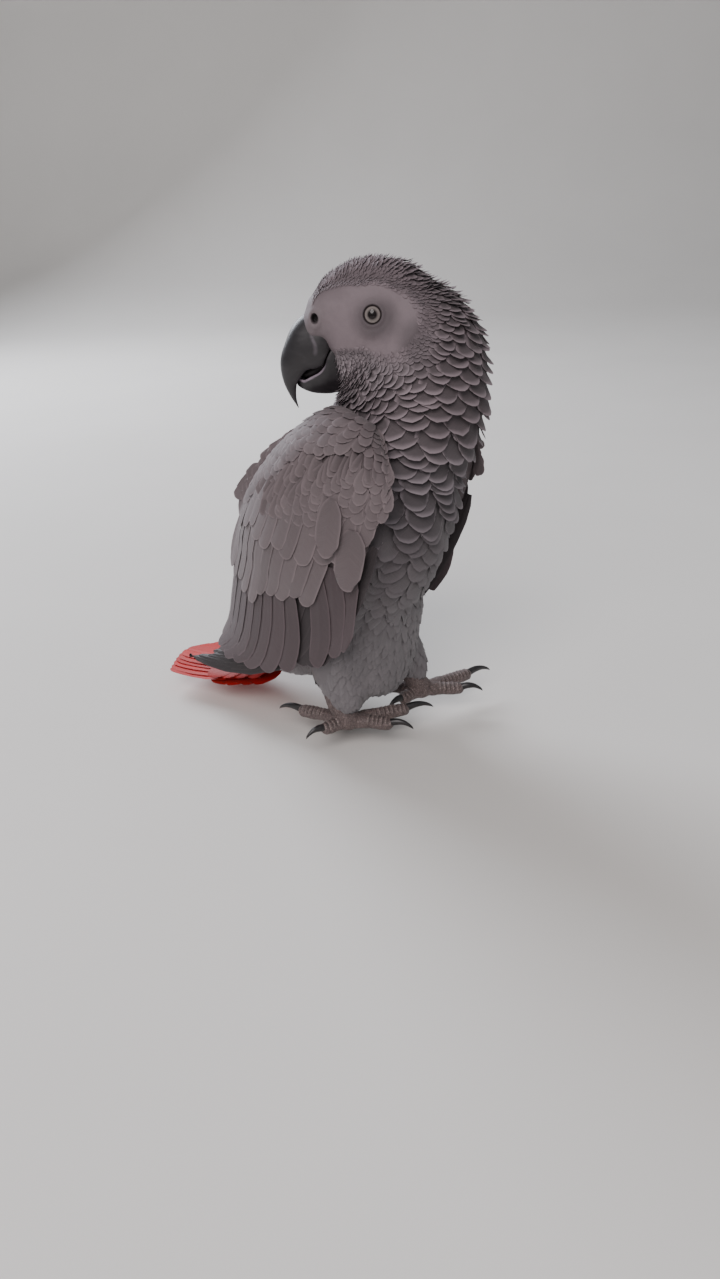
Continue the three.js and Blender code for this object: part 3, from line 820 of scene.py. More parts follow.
points = points_of(skin)
points = points - normals_of(skin) * coat_depth(points)[:, None]
for sign in (1, -1):
    look = eye_axis(sign)
    height, radius = about_axis(points - eye_centre(sign), look)
    wanted = np.interp(radius, *LID_SECTION.T)
    share = smooth(radius, 10.5, 6.2) * (height > -2)
    points = points + look * ((wanted - height) * share)[:, None]
    outward = unit(CHEEK * sign + FACE * 0.25)
    off = points - nostril_centre(sign)
    height = off @ outward
    aside = beside_nostril(off - height[:, None] * outward)
    ring = RING_HEIGHT * smooth(aside, 4.2, 2.4)
    hole = NOSTRIL_DEPTH * smooth(aside, NOSTRIL["radius"] + 0.4, NOSTRIL["radius"] - 0.4)
    points = points + outward * ((ring - hole) * (np.abs(height) < 5))[:, None]
move_points(skin, points)
print("the lids stand", LID_SECTION[:, 1].max(), "mm over the eye's middle")

# %% The colour of the skin
skin_tone = markings(points)
for sign in (1, -1):
    off = points - nostril_centre(sign)
    # Painted shade: the nostril is darkened towards its middle, deep in the hole.
    aside = beside_nostril(off) + 9 * (off @ CHEEK * sign < -6)
    skin_tone *= (1 - 0.9 * smooth(aside, 1.9, 1.0))[:, None]
    # Painted shade: the lid's inner rim, beside the eye, is darkened as the lid's own shadow.
    height, radius = about_axis(points - eye_centre(sign), eye_axis(sign))
    skin_tone *= (1 - 0.6 * smooth(radius, 4.1, 3.7) * (height > 0))[:, None]
paint(skin, "tone", skin_tone)
print("the darkest skin, in the nostrils:", skin_tone.min().round(4))

# %% [markdown]
# ## A map of the skin
#
# An exporter paints each piece into a picture, and needs to know where each point lies in it. The body is a
# bent tube, so its skin unrolls well: one way round the body, and one way along a line from the tail
# through the trunk and neck to the bill. Each feather takes a tiny patch of that map at the place of its
# root.

# %% Unroll the body
SPINE = np.array([
    [0, 60, 6], [0, 40, 24], [0, 16, 50], [0, 0, 75], [0, -14, 102], [0, -26, 127], [5, -36, 151],
    [8, -38, 170], [6, -34, 186], on_head(-8, 0, -6), on_head(8, 0, -6), on_head(22, 0, -8),
    on_head(34, 0, -12),
])
spine_line = spline(SPINE, np.linspace(0, 1, 240))
spine_way = unit(np.gradient(spine_line, axis=0))
spine_length = np.r_[0, np.cumsum(np.linalg.norm(np.diff(spine_line, axis=0), axis=1))]
spine_side = [np.cross(spine_way[0], UP)]
for way in spine_way[1:]:
    carried = spine_side[-1] - way * (way @ spine_side[-1])
    spine_side.append(carried / np.linalg.norm(carried))
spine_side = np.array(spine_side)
spine_tree = point_tree(spine_line)


def unroll(points):
    """Where each point of the body lies on its map: round it, and along it."""
    k = np.array([spine_tree.find(p)[1] for p in points.tolist()])
    away = points - spine_line[k]
    across, deep = spine_side[k], np.cross(spine_way[k], spine_side[k])
    turn = np.arctan2((away * deep).sum(1), (away * across).sum(1))
    along = (spine_length[k] + (away * spine_way[k]).sum(1)) / spine_length[-1]
    return np.stack([turn / (2 * math.pi) + 0.5, np.clip(along, -0.02, 1.05) * 0.92 + 0.03], 1)


skin.data.materials.clear()
skin.data.materials.append(SKIN)
add_bake_map(skin, unroll(points))
print("the line through the body is", spine_length[-1].round(1), "mm long")
keep(skin, "head", "neck", "torso", "thigh_left", "thigh_right", slot="face_skin")

# %% [markdown]
# ## One function lays every feather
#
# A feather is a thin vane. It is closed, with an upper and a lower face that meet all round its edge, and
# it is bent to the surface that it lies on. A feather starts in the skin, rises towards its tip, and so
# lies over the roots of the next ones, as roof tiles do. Its middle line is given by points. The two sides
# are set out square to that line, brought back to the surface, and lifted.

# %% The outline of a vane
# At stations from root to tip: [share of the length, share of the half width]
STATIONS = {
    "scale": [[0, 0.45], [0.25, 0.78], [0.5, 0.98], [0.7, 1.0], [0.87, 0.94], [1, 0.84]],
    "contour": [[0, 0.35], [0.2, 0.66], [0.4, 0.88], [0.56, 0.98], [0.7, 1.0], [0.82, 0.99], [0.92, 0.96],
                [1, 0.9]],
    "quill": [[0, 0.35], [0.08, 0.62], [0.2, 0.85], [0.35, 0.96], [0.5, 1.0], [0.65, 1.0], [0.78, 0.98],
              [0.88, 0.95], [0.95, 0.9], [1, 0.8]],
    "blade": [[0, 0.5], [0.1, 0.75], [0.22, 0.95], [0.36, 1.0], [0.5, 0.98], [0.64, 0.9], [0.76, 0.78],
              [0.86, 0.62], [0.94, 0.44], [1, 0.24]],
    "tuft": [[0, 0.5], [0.25, 0.84], [0.5, 1.0], [0.72, 0.96], [0.88, 0.84], [1, 0.62]],
}
STATIONS = {kind: np.array(stations) for kind, stations in STATIONS.items()}
# From the middle of a vane to its side, where its points stand; the other side mirrors it.
COLUMNS = {
    "scale": [0, 0.5, 0.86, 1],
    "contour": [0, 0.3, 0.58, 0.8, 0.93, 1],
    "quill": [0, 0.14, 0.45, 0.75, 1],
    "blade": [0, 0.1, 0.35, 0.7, 1],
    "tuft": [0, 0.5, 1],
}
COLUMNS = {kind: np.r_[-np.array(half[:0:-1]), half] for kind, half in COLUMNS.items()}
FLOOR_ROOM = 0.35
FLOOR_STEP = 0.04
PATCH = 0.003  # how much of the map one feather takes


def vane_template(rows, columns):
    """Faces of one closed vane: its upper grid, and a lower one that shares the upper one's edge."""
    upper = np.arange(rows * columns).reshape(rows, columns)
    lower = upper.copy()
    inner = (rows - 2) * (columns - 2)
    lower[1:-1, 1:-1] = rows * columns + np.arange(inner).reshape(rows - 2, columns - 2)
    above, below = (
        np.stack([g[:-1, :-1], g[:-1, 1:], g[1:, 1:], g[1:, :-1]], -1).reshape(-1, 4) for g in (upper, lower)
    )
    return np.vstack([above, below[:, ::-1]])


def straight(root, way, length, kind):
    """Middle lines that set out from `root` in the direction `way`."""
    s = STATIONS[kind][:, 0]
    return root[:, None] + way[:, None] * (length[:, None] * s)[..., None]


print("points along a vane:", {kind: len(stations) for kind, stations in STATIONS.items()})

# %% Lay feathers
def lay(name, surface, middle, half, kind, material, tone, bake, root=0.3, tip=2.0, curl=0.0, camber=0.08,
        roll=0.0, round_tip=1.0, shaft=0.0, thick=0.25, rise=1.3, facing=None, ragged=0.03, flutter=0.0,
        pale=1.0, shade=0.0, frayed=0.02, lip=0.0):
    """Lays vanes whose middle lines are `middle` (feather, station, xyz) and whose half width is `half`.

    In mm over the surface: `root` and `tip` are the height at both ends, `curl` and `lip` lift the end,
    `roll` lifts one side and lowers the other, `shaft` raises the middle line, `flutter` waves the sides.
    Shares of the half width: `camber` lowers the sides, `round_tip` rounds the end, `ragged` and `frayed`
    roughen the outline. `pale` says how pale the fringe is, and `shade` how much painted shade darkens the
    root, where the vane before it lies over it."""
    s, wide = STATIONS[kind].T
    x = COLUMNS[kind]
    count, rows, columns = len(middle), len(s), len(x)

    def each(value):
        """One value for each feather, ready to combine with its grid."""
        return np.broadcast_to(np.asarray(value, float), (count,))[:, None, None]

    line, out = nearest(surface, middle)
    run = unit(np.gradient(line, axis=1))
    out = unit(out)
    side = unit(np.cross(run, out))
    if facing is not None:
        side *= np.where((side * facing[:, None]).sum(-1, keepdims=True) < 0, -1.0, 1.0)
    width = np.asarray(half)[:, None] * wide * (1 + ragged * rng.standard_normal((count, rows)))
    aside = width[..., None] * x
    back = each(half) * each(round_tip) * (1 - np.sqrt(1 - 0.96 * x**2)) * (s[:, None] ** 3)
    back = back + each(half) * (frayed * rng.standard_normal((count, 1, columns))) * (s[:, None] ** 6)
    spread = line[:, :, None] + side[:, :, None] * aside[..., None] - run[:, :, None] * back[..., None]
    at, up = nearest(surface, spread)
    up = unit(up + out[:, :, None])
    length = each(np.linalg.norm(np.diff(line, axis=1), axis=2).sum(1))
    along = s[:, None] * np.ones(columns)
    # The rounded sides end nearer the root than the tip does, and are lifted less.
    reached = np.clip(along - back / length, 0, 1)
    height = each(root) + (each(tip) - each(root)) * reached ** each(rise)
    height = height + each(curl) * np.maximum(0, reached - 0.55) ** 2
    height = height + each(lip) * smooth((1 - along) * length / each(half), 0.5, 0.0) * (1 - x**2)
    height = height - each(camber) * each(half) * x**2 * along**0.5 + each(roll) * x * wide[:, None]
    height = height + each(shaft) * (x == 0) * np.sqrt(1 - 0.9 * along)
    wave = np.sin(each(rng.uniform(0, 6.3, count)) + 7 * along + 2.2 * x)
    height = height + each(flutter) * wave * along**2 * np.abs(x)
    top = at + up * height[..., None]
    bottom = top[:, 1:-1, 1:-1] - up[:, 1:-1, 1:-1] * thick
    # Feathers that would reach the floor are stopped just over it, each at a height of its own.
    floor = FLOOR_ROOM + FLOOR_STEP * (np.arange(count) % 16)[:, None, None]
    top[..., 2] = np.maximum(top[..., 2], floor + thick)
    bottom[..., 2] = np.maximum(bottom[..., 2], floor)

    def whole(upper, lower=None):
        """Rows for all the vertices: those of the upper grid, and those of the lower face inside its edge."""
        lower = upper[:, 1:-1, 1:-1] if lower is None else lower
        size = upper.shape[3]
        both = np.concatenate([upper.reshape(count, -1, size), lower.reshape(count, -1, size)], 1)
        return both.reshape(-1, size)

    vertices = whole(top, bottom)
    step = len(vertices) // count
    faces = vane_template(rows, columns)[None] + np.arange(count)[:, None, None] * step
    # Whichever way the sides were set out, the upper face looks away from the surface.
    order = np.cross(run[:, rows // 2], side[:, rows // 2])
    flip = (order * out[:, rows // 2]).sum(1) > 0
    faces[flip] = faces[flip][:, :, ::-1]
    made = make_object(name, vertices, [faces.reshape(-1, 4)], material)

    ones = np.ones((count, rows, columns))
    luck = ones * each(rng.uniform(0, 1, count))
    to_side = (1 - np.abs(x)) * width[..., None]
    paint(made, "edge", whole(np.stack([to_side, (1 - along) * length, luck], -1)), "FLOAT_VECTOR")
    paint(made, "reach", whole(np.stack([aside, along * length, 0 * ones], -1)), "FLOAT_VECTOR")
    # Painted shade: each vane is darkened towards its root, where the vane before it lies over it.
    root_painted_shade = ones * (1 - each(shade) * (1 - along) ** 1.2)
    paint(made, "tone", whole(tone[:, None, None] * root_painted_shade[..., None]))
    paint(made, "pale", whole((each(pale) * ones)[..., None]).ravel(), "FLOAT")
    patch = np.stack([x * ones, (along - 0.5) * 2 * ones], -1) * PATCH / 2
    add_bake_map(made, whole(bake[:, None, None] + patch))
    # The vane's outline is a sharp edge, so that its upper face is shaded as a flat vane is.
    border = np.ones((1, rows, columns, 1), bool)
    border[:, 1:-1, 1:-1] = False
    border = np.r_[border.ravel(), np.zeros(step - rows * columns, bool)]
    sharp = np.tile(border, count)[read(made.data.edges, "vertices", 2, np.int32)].all(1)
    made.data.attributes.new("sharp_edge", "BOOLEAN", "EDGE").data.foreach_set("value", sharp)
    return made


# %% [markdown]
# ## Wings
#
# A folded wing lies on one curved sheet beside the body, from the bend of the wing down to the wing tip.
# Its long edge to the front and its long edge to the back are two curves, and the sheet bulges between
# them. The arm makes a soft swelling at its top. The wing's feathers come in rows: small coverts like
# scales on the arm, median and greater coverts below them, then the secondaries with rounded ends, and last
# the dark primaries.

# %% The wing's sheet
LEADING = [
    [-25, -42, 156], [-38, -54, 137], [-43, -48, 110], [-43, -34, 80],
    [-39, -17, 52], [-35, 10, 28], [-31, 54, 15], [-21, 99, 9],
]
TRAILING = [
    [-17, -20, 161], [-21, 5, 146], [-20, 30, 124], [-19, 47, 97],
    [-17, 59, 67], [-13, 69, 42], [-7, 87, 23], [-2, 112, 13],
]
WING_BULGE = 16
ARM = {"end": 0.44, "shoulder": 0.18, "swell": 4.4, "sunk": 0.8}


def rim(x):
    """1 in the middle of a form and 0 at its edges, where x is 0 and 1, with a round shoulder."""
    return np.sqrt(np.maximum(0, 1 - np.abs(2 * x - 1) ** 3))


def arm_swell(u):
    """How thick the arm is along the wing: it swells quickly behind the bend and thins out to its end."""
    s = np.clip(u / ARM["end"], 0, 1)
    shoulder = np.sqrt(1 - (1 - np.minimum(1, s / ARM["shoulder"])) ** 2)
    return shoulder * rim(0.5 * (1 - s))


def wing_sheet(u, t):
    """Points of the right wing's thin sheet, u from bend to tip and t from the front edge to the back."""
    lead, trail = spline(LEADING, u), spline(TRAILING, u)
    way = sum(spline(line, u + 1e-3) - spline(line, u - 1e-3) for line in (LEADING, TRAILING))
    out = unit(np.cross(trail - lead, way))
    from_bend = 0.35 + 0.65 * np.minimum(1, u / 0.14)
    bulge = WING_BULGE * (1 - u) ** 0.6 * np.sin(math.pi * np.clip(t, 0, 1)) * from_bend
    return lead + (trail - lead) * t[..., None] + out * bulge[..., None]


def wing_place(u, t, sign, pad=True):
    """Points of a wing's outer surface, over the arm or, without the pad, under it."""
    u, t = np.broadcast_arrays(np.clip(np.asarray(u, float), 0, 1), np.asarray(t, float))
    at = wing_sheet(u, t)
    if pad:
        step = 0.01
        by_u = wing_sheet(np.clip(u + step, 0, 1), t) - wing_sheet(np.clip(u - step, 0, 1), t)
        by_t = wing_sheet(u, t + step) - wing_sheet(u, t - step)
        lift = ARM["swell"] * arm_swell(u) * rim(np.clip(t, 0, 1)) - ARM["sunk"]
        at = at + unit(np.cross(by_t, by_u)) * lift[..., None]
    return at * np.array([-sign, 1, 1])


def wing_surface(sign):
    u, t = over_sheet((0, 1, 90), (-0.12, 1.12, 40))
    return face_tree(wing_place(u, t, sign), grid_faces(*u.shape)[:, ::-sign].tolist())


wing_surfaces = {side: wing_surface(sign) for side, sign in SIGN.items()}
for side, sign in SIGN.items():
    _, out = nearest(wing_surfaces[side], wing_place(np.array([0.4]), np.array([0.5]), sign))
    print(side, "wing faces", out.round(2))

# %% [markdown]
# ## The coat of the body
#
# Contour feathers cover head, neck and body. They are smallest at the bill, about 3 mm long, and grow
# to broad scales on the neck and breast. On the belly and thighs they are soft and loose. They are dealt
# out over the skin at a spacing that grows with them, starting at the bill, which gives the even, staggered
# rows of a real coat. All of them point away from the bill on the head, and down to the tail on the body.

# %% Places to choose from
def places_on(obj, spacing_at):
    """Random places on a mesh and its direction there, closer together where feathers are to be small."""
    obj.data.calc_loop_triangles()
    corner = read(obj.data.loop_triangles, "vertices", 3, np.int32)
    at, facing = points_of(obj)[corner], normals_of(obj)[corner]
    area = np.linalg.norm(np.cross(at[:, 1] - at[:, 0], at[:, 2] - at[:, 0]), axis=1) / 2
    count = rng.poisson(area * 12 / spacing_at(at.mean(1)) ** 2)
    chosen = np.repeat(np.arange(len(corner)), count)
    share = rng.dirichlet((1, 1, 1), len(chosen))[..., None]
    return (at[chosen] * share).sum(1), unit((facing[chosen] * share).sum(1))


def scatter(points, way, across, along, order):
    """Picks places in order, each clear of the others by `across` sideways and `along` lengthways."""
    tree = point_tree(points)
    free = np.ones(len(points), bool)
    chosen = []
    for i in order:
        if free[i]:
            chosen.append(i)
            near = np.array([found[1] for found in tree.find_range(points[i], max(across[i], along[i]))])
            step = points[near] - points[i]
            run = step @ way[i]
            aside = np.maximum((step**2).sum(1) - run**2, 0)
            free[near[(run / along[i]) ** 2 + aside / across[i] ** 2 < 1]] = False
    return np.array(chosen)


skin_surface = face_tree(points_of(skin), [tuple(f.vertices) for f in skin.data.polygons])
breast_point = skin_surface.find_nearest(Vector((0, -60, 100)))[0]
print("the skin of the breast stands", round(-breast_point.y, 1), "mm in front of the middle")

# %% The spacing of feathers, and the direction in which they lie
BILL_FOOT = on_head(26, 0, -12)
TAIL_AIM = np.array([0, 70, -25.0])
DOWN = -UP
# How far apart feathers stand: [distance from the foot of the bill, across their rows, along their rows].
CROWN_ROWS = np.array([
    [16, 1.2, 0.9], [26, 1.6, 0.95], [33, 2.0, 1.05], [40, 3.0, 1.25], [48, 4.2, 1.5], [56, 5.4, 1.7],
    [64, 6.6, 1.9], [76, 8.8, 2.3], [90, 11, 2.8],
])
CHEEK_ROWS = np.array([
    [8, 1.7, 0.9], [20, 3, 1.0], [28, 4.6, 1.15], [36, 7.4, 1.45], [44, 10.5, 1.9], [52, 14, 2.4],
    [60, 15.5, 2.8], [90, 15, 3.8],
])
# On the belly: [height over the floor, across, along]; on the mantle: (across, along) at most.
BELLY_ROWS = np.array([[20, 3.0, 2.0], [60, 4.4, 2.4], [82, 8.5, 3.2], [104, 14, 4.0]])
MANTLE_ROWS = (8.5, 2.7)
# How far back the mantle begins: [height, y]; and how wide it is.
MANTLE_LINE = np.array([[26, 46], [52, 46], [97, 33], [124, 12], [151, -14]]).T
MANTLE_HALF = 20.5
CLOSEST = 0.85


def on_mantle(points):
    """1 on the back between the wings, and 0 elsewhere."""
    behind = points[:, 1] - np.interp(points[:, 2], *MANTLE_LINE)
    return smooth(behind, -3, 3) * (np.abs(points[:, 0]) < MANTLE_HALF)


def rows_at(points):
    """The spacing of feathers across and along their rows."""
    distance = np.linalg.norm(points - BILL_FOOT, axis=1)
    up = head_measures(points)[2]
    crown = smooth(up, -45, 4)
    near_face = (0.4 + 0.6 * smooth(face_reach(points), 1.0, 1.65)) * (1 - 0.35 * ear_patch(points))
    mantle = on_mantle(points) * smooth(points[:, 2], 160, 140)
    spaced = []
    for column in (1, 2):
        top = np.interp(distance - 0.4 * np.maximum(up, 0), CROWN_ROWS[:, 0], CROWN_ROWS[:, column])
        low = np.interp(distance, CHEEK_ROWS[:, 0], CHEEK_ROWS[:, column])
        belly = np.interp(points[:, 2], BELLY_ROWS[:, 0], BELLY_ROWS[:, column])
        wide = np.maximum(np.minimum(low + (top - low) * crown, belly) * near_face, CLOSEST)
        spaced.append(wide + (np.minimum(wide, MANTLE_ROWS[column - 1]) - wide) * mantle)
    return spaced


def lie(points, out):
    """The direction in which the coat lies: away from the bill, then down the body to the tail."""
    distance = np.linalg.norm(points - BILL_FOOT, axis=1)
    down_body = unit(TAIL_AIM - points)
    down_body[:, 0] *= 0.5
    way = mixed(unit(points - on_head(30, 0, -10)), DOWN + [0, 0.1, 0], smooth(distance, 26, 62))
    way = mixed(way, down_body, smooth(points[:, 2], 150, 100))
    way = mixed(way, DOWN, smooth(points[:, 2], 62, 30) * smooth(points[:, 1], 25, 5))
    return along_surface(way, out)


here = np.array([on_head(20, 0, 8), [0, -60, 100], [0, -40, 40]])
for at, wide, apart in zip(here, *rows_at(here)):
    print("at", at.round(), "feathers stand", wide.round(1), "by", apart.round(1), "mm apart")

# %% Choose the places
place, out = places_on(skin, lambda points: np.sqrt(np.prod(rows_at(points), axis=0)))
way = lie(place, out)
across, along = rows_at(place)
distance = np.linalg.norm(place - BILL_FOOT, axis=1)
print(len(place), "places to choose from")
order = np.argsort(distance + rng.uniform(0, 0.3, len(place)) * along)
roots = scatter(place, way, across, along, order)
place, out, way, across, along = (a[roots] for a in (place, out, way, across, along))
print(len(place), "places for feathers")

# %% Leave out those that nothing would show
WING_GAP = 9


def under_wing(points, out):
    """True where a folded wing lies close over the body."""
    hidden = np.zeros(len(points), bool)
    for surface in wing_surfaces.values():
        for i in range(len(points)):
            hit = surface.ray_cast(points[i] + out[i] * 1.5, out[i], WING_GAP)
            hidden[i] |= hit[0] is not None
    return hidden & (on_mantle(points) < 0.5)


bare = face_reach(place) < 0.97
in_bill = (np.linalg.norm(place - on_head(27, 0, -16), axis=1) < 13) & (head_measures(place)[0] > 19)
clear = ~(bare | in_bill | under_wing(place, out))
place, out, way, across, along = (a[clear] for a in (place, out, way, across, along))
print(len(place), "of them are clear of the face, the bill and the wings")

# %% How large they are
way = way + 0.1 * rng.standard_normal(way.shape)
way = along_surface(way, out)


def wobble(amount):
    """A share for each feather, a little above or below 1."""
    return 1 + amount * rng.standard_normal(len(place))


up = head_measures(place)[2]
high = place[:, 2]
margin = np.maximum(smooth(face_reach(place), 1.75, 1.05), 0.75 * ear_patch(place))
fine = smooth(across, 5.5, 2.5)
broad = smooth(across, 6, 12)
belly = smooth(high, 96, 62)
breast = np.maximum(smooth(high, 138, 106), on_mantle(place)) * (1 - belly)
length = (along * 4 + 0.4) * wobble(0.08) * (1 + 0.55 * belly + 0.15 * broad)
half = across * (0.62 + 0.04 * fine) * wobble(0.06) * (1 - 0.08 * belly)
stray = 1 + 0.5 * fine * (rng.uniform(0, 1, len(place)) > 0.9)
tip = (0.58 * along + 0.8) * rng.uniform(0.88, 1.12, len(place)) * stray
tip = tip * (1 - 0.65 * margin) * (1 - 0.45 * belly) * (1 - 0.4 * breast) * (1 - 0.2 * fine)
luck = rng.uniform(-0.1, 0.1, len(place)) * (1 - 0.4 * belly)
bold = np.interp(high, [100, 152], [0.2, 1.0])
coat = {
    "tip": tip,
    "curl": (1.4 + 1.3 * along) * (1 - 0.8 * margin) * (1 - belly) * (1 - 0.6 * breast),
    "camber": 0.03 + 0.1 * belly,
    "roll": 0.06 * half * (1 - belly),
    "lip": (0.2 + 0.36 * along) * (1 - margin) * (1 - belly) * bold,
    "round_tip": 1 - 0.2 * broad,
    "flutter": 0.15 + 0.3 * belly,
    "ragged": 0.02 + 0.08 * belly[:, None],
    "pale": np.interp(high, [95, 150], [0.35, 1.0]) * (1 - 0.75 * margin),
    # Painted shade darkens each feather of the coat towards its root.
    "shade": 0.62 * (1 - 0.6 * margin) * (1 - 0.7 * belly) * (1 - 0.3 * breast),
    "frayed": (0.015 + 0.03 * smooth(high, 130, 90) + 0.07 * belly)[:, None, None],
}
tone = markings(place + out * 2) * (1 + luck[:, None])
bake = unroll(place)
print("feathers of the coat are", length.min().round(1), "to", length.max().round(1), "mm long")

# %% The coat, in six pieces
SMALL_ACROSS = 4.6
small = (across < SMALL_ACROSS) & (belly < 0.5)
large = across >= SMALL_ACROSS
GROUPS = {
    "coat_crown": (small & (up > -6), "scale", CONTOUR),
    "coat_cheeks": (small & (up <= -6), "scale", CONTOUR),
    "coat_neck": (large & (high > 120), "contour", CONTOUR),
    "coat_breast": (large & (belly < 0.5) & (high <= 120), "contour", DOWNY),
    "coat_belly": ((belly >= 0.5) & (high > 46), "tuft", DOWNY),
    "coat_thighs": ((belly >= 0.5) & (high <= 46), "tuft", DOWNY),
}
for name, (chosen, kind, material) in GROUPS.items():
    middle = straight(place[chosen], way[chosen], length[chosen], kind)
    own = {measure: values[chosen] for measure, values in coat.items()}
    piece = lay(
        name, skin_surface, middle, half[chosen], kind, material, tone[chosen], bake[chosen], root=-0.4,
        rise=0.9, thick=0.2, **own,
    )
    keep(piece, slot="plumage")

# %% [markdown]
# ## The wing's feathers
#
# The larger feathers are laid row by row. In a row each feather covers the front edge of the one before it,
# so its front side is rolled up and its back side down.

# %% The rows of a wing
# For each row: its count and half width, then along the row from front to back where the roots and tips lie
# (u from the bend, t from the front edge), and how high over the sheet the roots and tips lie.
WING_ROWS = {
    # The hand coverts are dark: partly their own colour, partly painted shade for the shadowed gap between
    # the wing's front edge and the belly.
    "hand_covert": dict(
        count=7, half=5.0, roll=-0.5, root=(0.28, 0.34), root_across=(-0.02, 0.3), tip=(0.62, 0.7),
        tip_across=(-0.02, 0.34), lift=((-1.1, -1.1), (-1.2, -1.2)), kind="quill", tone="hand", round_tip=0.8,
    ),
    "outer_secondary": dict(
        count=3, half=6.0, roll=-0.4, root=(0.34, 0.35), root_across=(0.06, 0.22),
        tip=(0.55, 0.57, 0.58, 0.6), tip_across=(-0.1, 0.0), lift=((0.3, 0.5), (0.6, 0.6)), kind="quill",
        tone="secondary", round_tip=0.9,
    ),
    "secondary": dict(
        count=8, half=6.0, roll=-0.55, root=(0.36, 0.36), root_across=(0.43, 0.92),
        tip=(0.675, 0.73, 0.765, 0.785, 0.8, 0.81, 0.805, 0.785),
        tip_across=(0.165, 0.25, 0.35, 0.45, 0.56, 0.68, 0.79, 0.89), lift=((0.4, 0.4), (1.0, 1.0)),
        kind="quill", tone="secondary", round_tip=0.75,
    ),
    "greater_covert": dict(
        count=10, half=6.0, roll=-0.45, root=(0.28, 0.28), root_across=(0.2, 0.96),
        tip=(0.45, 0.48, 0.51, 0.53, 0.52), tip_across=(0.22, 0.98), lift=((0.9, 0.9), (1.7, 1.7)),
        kind="quill", tone="covert", round_tip=0.9,
    ),
    "median_covert": dict(
        count=11, half=5.8, roll=-0.35, root=(0.21, 0.21), root_across=(0.14, 0.98),
        tip=(0.33, 0.35, 0.39, 0.4), tip_across=(0.14, 1.0), lift=((1.1, 1.1), (2.0, 2.0)), kind="contour",
        tone="covert", round_tip=1.0,
    ),
    "lesser_covert": dict(
        count=13, half=4.8, roll=-0.3, root=(0.17, 0.17), root_across=(0.06, 0.98), tip=(0.27, 0.3),
        tip_across=(0.05, 0.99), lift=((0.6, 0.6), (1.6, 1.6)), kind="contour", tone="covert", round_tip=1.0,
    ),
    "alula": dict(
        count=2, half=6.6, roll=-0.6, root=(0.25, 0.2), root_across=(0.1, 0.24), tip=(0.375, 0.335),
        tip_across=(0.05, 0.17), lift=((2.0, 2.4), (3.6, 4.4)), kind="quill", tone="covert", round_tip=1.15,
    ),
}
PRIMARIES = dict(
    count=9, half=5.6, roll=-1.0, root=(0.4, 0.4), root_across=(0.14, 0.62), tip=(0.985, 0.79),
    tip_across=(0.3, 0.82), lift=((-4.4, -3.6), (-0.2, -3.4)), kind="blade", tone="primary", round_tip=0.3,
)


def between(values, share):
    return np.interp(share, np.linspace(0, 1, len(values)), values)


def on_map(u, t, scale=0.8):
    """The place on its map of a point of a wing."""
    return np.stack([t, u], -1) * scale + 0.1


def wing_row(name, side, row, material, shaft=0.25):
    """One row of feathers on one wing, from its front end to its back end."""
    sign = SIGN[side]
    k = np.linspace(0, 1, row["count"])
    s = STATIONS[row["kind"]][:, 0]
    jitter = 1 + (0.035 if row["tone"] == "covert" else 0.02) * rng.standard_normal(len(k))
    u0, u1 = between(row["root"], k), between(row["tip"], k) * jitter
    t0 = between(row["root_across"], k)
    t1 = between(row["tip_across"], k) + 0.012 * rng.standard_normal(len(k))
    u = u0[:, None] + (u1 - u0)[:, None] * s
    t = t0[:, None] + (t1 - t0)[:, None] * s
    back = wing_place(u[:, 0], t[:, 0] + 0.05, sign) - wing_place(u[:, 0], t[:, 0] - 0.05, sign)
    tone = PALETTE[row["tone"]] * rng.uniform(0.9, 1.08, (len(k), 1))
    half = row["half"] * (1 + 0.08 * rng.standard_normal(len(k)))
    root, tip = (between(lift, k) + ARM["sunk"] for lift in row["lift"])
    # `shade` paints shade on each feather's root, under the one before it.
    return lay(
        name, wing_surfaces[side], wing_place(u, t, sign), half, row["kind"], material, tone, on_map(u0, t0),
        root=root, tip=tip, rise=1.0, roll=row["roll"], camber=0.06, round_tip=row["round_tip"], shaft=shaft,
        thick=0.3, facing=unit(back), ragged=0.015, flutter=0.2, shade=0.18, lip=0.12,
    )


def join(name, parts):
    """Makes one object of several."""
    with bpy.context.temp_override(active_object=parts[0], selected_editable_objects=parts):
        bpy.ops.object.join()
    parts[0].name = parts[0].data.name = name
    return parts[0]


print("feathers on a wing:", {kind: row["count"] for kind, row in WING_ROWS.items()}, PRIMARIES["count"])

# %% The arm, and the wing laid over it
ARM_GRID = (30, 22)
ARM_DEPTH = 11


def arm_pad(side):
    """The closed arm under the coverts, from which the wing's feathers grow."""
    sign = SIGN[side]
    rows, columns = ARM_GRID
    u, t = over_sheet((0, ARM["end"], rows), (0.01, 0.99, columns))
    outer = wing_place(u, t, sign)
    _, out = nearest(wing_surfaces[side], outer)
    depth = 0.6 + ARM_DEPTH * arm_swell(u) * np.maximum(0.5, rim(t))
    inner = wing_place(u, t, sign, pad=False) - out * depth[..., None]
    a = np.arange(rows * columns).reshape(rows, columns)
    b = a + rows * columns
    quads = [grid_faces(rows, columns), grid_faces(rows, columns)[:, ::-1] + rows * columns]
    for near, far in ((a[0], b[0]), (b[-1], a[-1]), (b[:, 0], a[:, 0]), (a[:, -1], b[:, -1])):
        quads.append(np.stack([near[1:], near[:-1], far[:-1], far[1:]], 1))
    points = np.vstack([outer.reshape(-1, 3), inner.reshape(-1, 3)])
    made = make_object(f"wing_arm_{side}", points, [q[:, ::sign] for q in quads], SKIN)
    # Painted shade: the pad is coloured at 0.7 of the coverts, so that it looks shaded where it shows between
    # them.
    paint_evenly(made, PALETTE["covert"] * 0.7)
    uv = on_map(u, t).reshape(-1, 2)
    add_bake_map(made, np.vstack([uv, uv + [0.0, 0.4]]))
    return made


